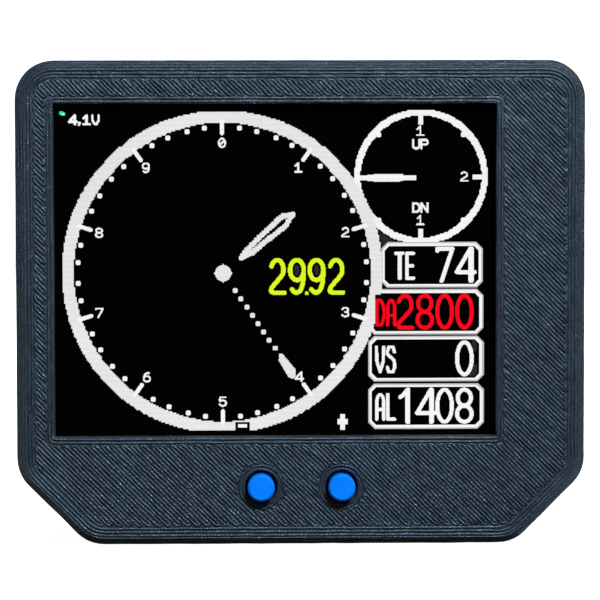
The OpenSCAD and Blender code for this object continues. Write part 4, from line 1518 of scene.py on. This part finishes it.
    def leaks(self) -> None:
        """Draws the dim cells that leak light beside the last figure and inside the two nines."""
        above = [(303.0, 171.0), (306.0, 171.0), (307.6, 177.5), (306.0, 180.0)]
        below = [(304.4, 188.4), (307.4, 188.4), (307.4, 195.0), (305.0, 197.4), (300.6, 197.4)]
        nines = ((176.1, 120.2), (190.5, 120.2))
        bowl = (1.8, 3.9)
        for patch in (above, below):
            self.polygon(patch, Lit.LEAKS)
        for middle in nines:
            self.ellipse(middle, bowl, 0, Lit.LEAKS)

    def draw(self) -> None:
        """Draws the picture in the order in which its parts cover each other."""
        leak_by_dials = [(236.6, 93.0), (247.0, 99.6), (238.0, 104.6)]
        gap_for_label = (233.0, 138.2, 240.0, 164.4)
        self.polygon(leak_by_dials, Lit.LEAKS)
        self.climb_dial()
        for row in range(len(self.frame_tops)):
            self.reading_frame(self.frame_left if row else self.first_frame_left, row)
        self.main_dial()
        self.box(*gap_for_label, Lit.DARK)
        self.pointers()
        self.leaks()
        self.readings()
        self.corner_signs()

    def dress(self, finishes: Finishes) -> None:
        """Builds the lit cells as thin bars on the glass, row by row.

        Args:
            finishes: The materials.
        """
        self.draw()
        across = self.width / self.cells.shape[1]
        down = self.height / self.cells.shape[0]
        for number, part in enumerate(self.order):
            name, finish = part.value
            if finish is None:
                continue
            shell = Shell(name)
            for row, line in enumerate(self.cells == number):
                edges = np.flatnonzero(np.diff(np.concatenate([[0], line.astype(int), [0]])))
                top = self.top - row * down
                foot = top - down * (1 - self.row_gap)
                for start, end in zip(edges[::2], edges[1::2]):
                    shell.block((self.left + start * across, self.glass - self.thickness, foot),
                                (self.left + end * across, self.glass, top))
            shell.piece(finishes.get(finish), "display_glass", False)


@dataclass(frozen=True)
class Lamp:
    """A soft square lamp, with its place and side in metres and its power in watts."""

    name: str
    place: tuple[float, float, float]
    side: float
    power: float


@dataclass
class Studio:
    """Pale table and backdrop in metres, soft lamps, and the camera of the photograph in millimetres."""

    image_width_mm: float = 77.95
    distance_mm: float = 360.0
    elevation: float = 3.1
    turn: float = -1.2
    roll: float = -0.12
    aim_side_mm: float = -0.13
    aim_height_mm: float = 31.92
    sensor_mm: float = 36.0
    clip_start: float = 0.01
    table_level: float = -0.0001
    table_front: float = -0.0075
    table_half: float = 0.25
    table_glow: float = 0.93
    backdrop_place: float = 0.9
    backdrop_half: float = 0.9
    backdrop_foot: float = -0.5
    backdrop_head: float = 1.4
    backdrop_glow: float = 1.0
    paper: str = "#f0f0f0"
    room_light: float = 0.1
    key_lamp: Lamp = Lamp("key_lamp", (0.16, -0.46, 0.44), side=0.14, power=5.8)
    rear_lamp: Lamp = Lamp("rear_lamp", (0.2, 0.5, 0.35), side=0.3, power=2.0)

    def white(self, name: str, glow: float) -> Material:
        """Makes a pale surface that the camera and mirrors see as white, and that still takes shadows.

        Args:
            name: The material's name.
            glow: How much of its white it gives by itself.

        Returns:
            The material.
        """
        material, tree = blank(name)
        path = add(tree, "ShaderNodeLightPath")
        seen = path.outputs["Is Camera Ray"]
        for kind in ("Is Glossy Ray", "Is Transmission Ray"):
            either = add(tree, "ShaderNodeMath", {"operation": "MAXIMUM"}, {0: seen, 1: path.outputs[kind]})
            seen = either.outputs["Value"]
        light = add(tree, "ShaderNodeMath", {"operation": "MULTIPLY", 1: glow}, {0: seen})
        lit = add(tree, "ShaderNodeEmission", {"Color": linear(WHITE)}, {"Strength": light.outputs["Value"]})
        paper = add(tree, "ShaderNodeBsdfDiffuse", {"Color": linear(self.paper)})
        both = add(tree, "ShaderNodeAddShader", None, {0: paper.outputs["BSDF"], 1: lit.outputs["Emission"]})
        add(tree, "ShaderNodeOutputMaterial", None, {"Surface": both.outputs["Shader"]})
        return material

    def sheet(self, name: str, corners: Sequence[tuple[float, float, float]], glow: float) -> None:
        """Adds one flat sheet of the stage.

        Args:
            name: The sheet's name.
            corners: Its corners in metres.
            glow: How much of its white it gives by itself.
        """
        mesh = bpy.data.meshes.new(name)
        mesh.from_pydata(corners, [], [tuple(range(len(corners)))])
        mesh.materials.append(self.white(name, glow))
        sheet = placed(name, mesh)

    def stage(self) -> None:
        """Sets the table, with the case at its front edge, and hangs the backdrop."""
        half, near, far = self.table_half, self.table_front, self.backdrop_place
        ground = ((-half, near), (half, near), (half, far), (-half, far))
        self.sheet("table", [(x, y, self.table_level) for x, y in ground], self.table_glow)
        half, foot, head = self.backdrop_half, self.backdrop_foot, self.backdrop_head
        wall = ((-half, foot), (half, foot), (half, head), (-half, head))
        self.sheet("backdrop", [(x, far, z) for x, z in wall], self.backdrop_glow)

    def hang(self, lamp: Lamp) -> None:
        """Adds a soft lamp that looks at the middle of the case.

        Args:
            lamp: The lamp.
        """
        data = bpy.data.lights.new(lamp.name, "AREA")
        data.size = lamp.side
        data.energy = lamp.power
        hung = placed(lamp.name, data)
        hung.location = lamp.place
        aim = Vector((0, 0, self.aim_height_mm * MM)) - hung.location
        hung.rotation_euler = aim.to_track_quat("-Z", "Y").to_euler()

    def light(self) -> None:
        """Sets the lamps and the dim room round them."""
        self.hang(self.key_lamp)
        self.hang(self.rear_lamp)
        world = bpy.data.worlds.new("dim_room")
        bpy.context.scene.world = world
        world.use_nodes = True
        tree = world.node_tree
        tree.nodes.clear()
        room = add(tree, "ShaderNodeBackground", {"Color": linear(WHITE), "Strength": self.room_light})
        add(tree, "ShaderNodeOutputWorld", None, {"Surface": room.outputs["Background"]})

    def camera(self, front_mm: float) -> None:
        """Sets the camera at the photograph's viewing angle.

        Args:
            front_mm: Where the front face is along Y.
        """
        data = bpy.data.cameras.new("camera")
        data.sensor_width = self.sensor_mm
        data.lens = self.sensor_mm * self.distance_mm / self.image_width_mm
        data.clip_start = self.clip_start
        camera = placed("camera", data)
        up, aside = math.radians(self.elevation), math.radians(self.turn)
        aim = Vector((self.aim_side_mm, front_mm, self.aim_height_mm)) * MM
        away = Vector((math.sin(aside) * math.cos(up), -math.cos(aside) * math.cos(up), math.sin(up)))
        camera.location = aim + away * self.distance_mm * MM
        level = (-away).to_track_quat("-Z", "Y")
        camera.rotation_euler = (level @ Quaternion((0, 0, 1), math.radians(self.roll))).to_euler()
        bpy.context.scene.camera = camera


def dress_solids(finishes: Finishes) -> None:
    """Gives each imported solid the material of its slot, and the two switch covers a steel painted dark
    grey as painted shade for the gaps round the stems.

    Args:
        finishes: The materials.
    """
    for part in frame["record"]["subparts"]:
        node = frame["nodes"][part["node"]]
        finish = SLOT_FINISHES[part["material_slot"]]
        # The switch covers take steel painted dark grey, as painted shade in the gap round each stem
        if part["node"].endswith("switch_cover"):
            finish = SHADE_DARKENED_STEEL
        node.data.materials.clear()
        node.data.materials.append(finishes.get(finish))
        log.info("%s: %s", part["node"], node.data.materials[0].name)


def main() -> None:
    """Builds the scene, piece by piece."""
    logging.basicConfig(level=logging.INFO, format="%(message)s")
    bpy.context.scene.view_settings.view_transform = "Standard"
    finishes = Finishes()
    form = CaseForm()
    dress_solids(finishes)
    case = PrintedCase(form, finishes.get(PRINTED_PLA))
    case.dress()
    ContactDomes().dress()
    ChargingContacts(finishes.get(GOLD_PLATE)).dress()
    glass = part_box("display_cell")[0].y / MM
    DisplayPicture(case.window[0], case.window[3], glass).dress(finishes)
    studio = Studio()
    studio.stage()
    studio.light()
    studio.camera(form.front)


if __name__ == "__main__":
    main()
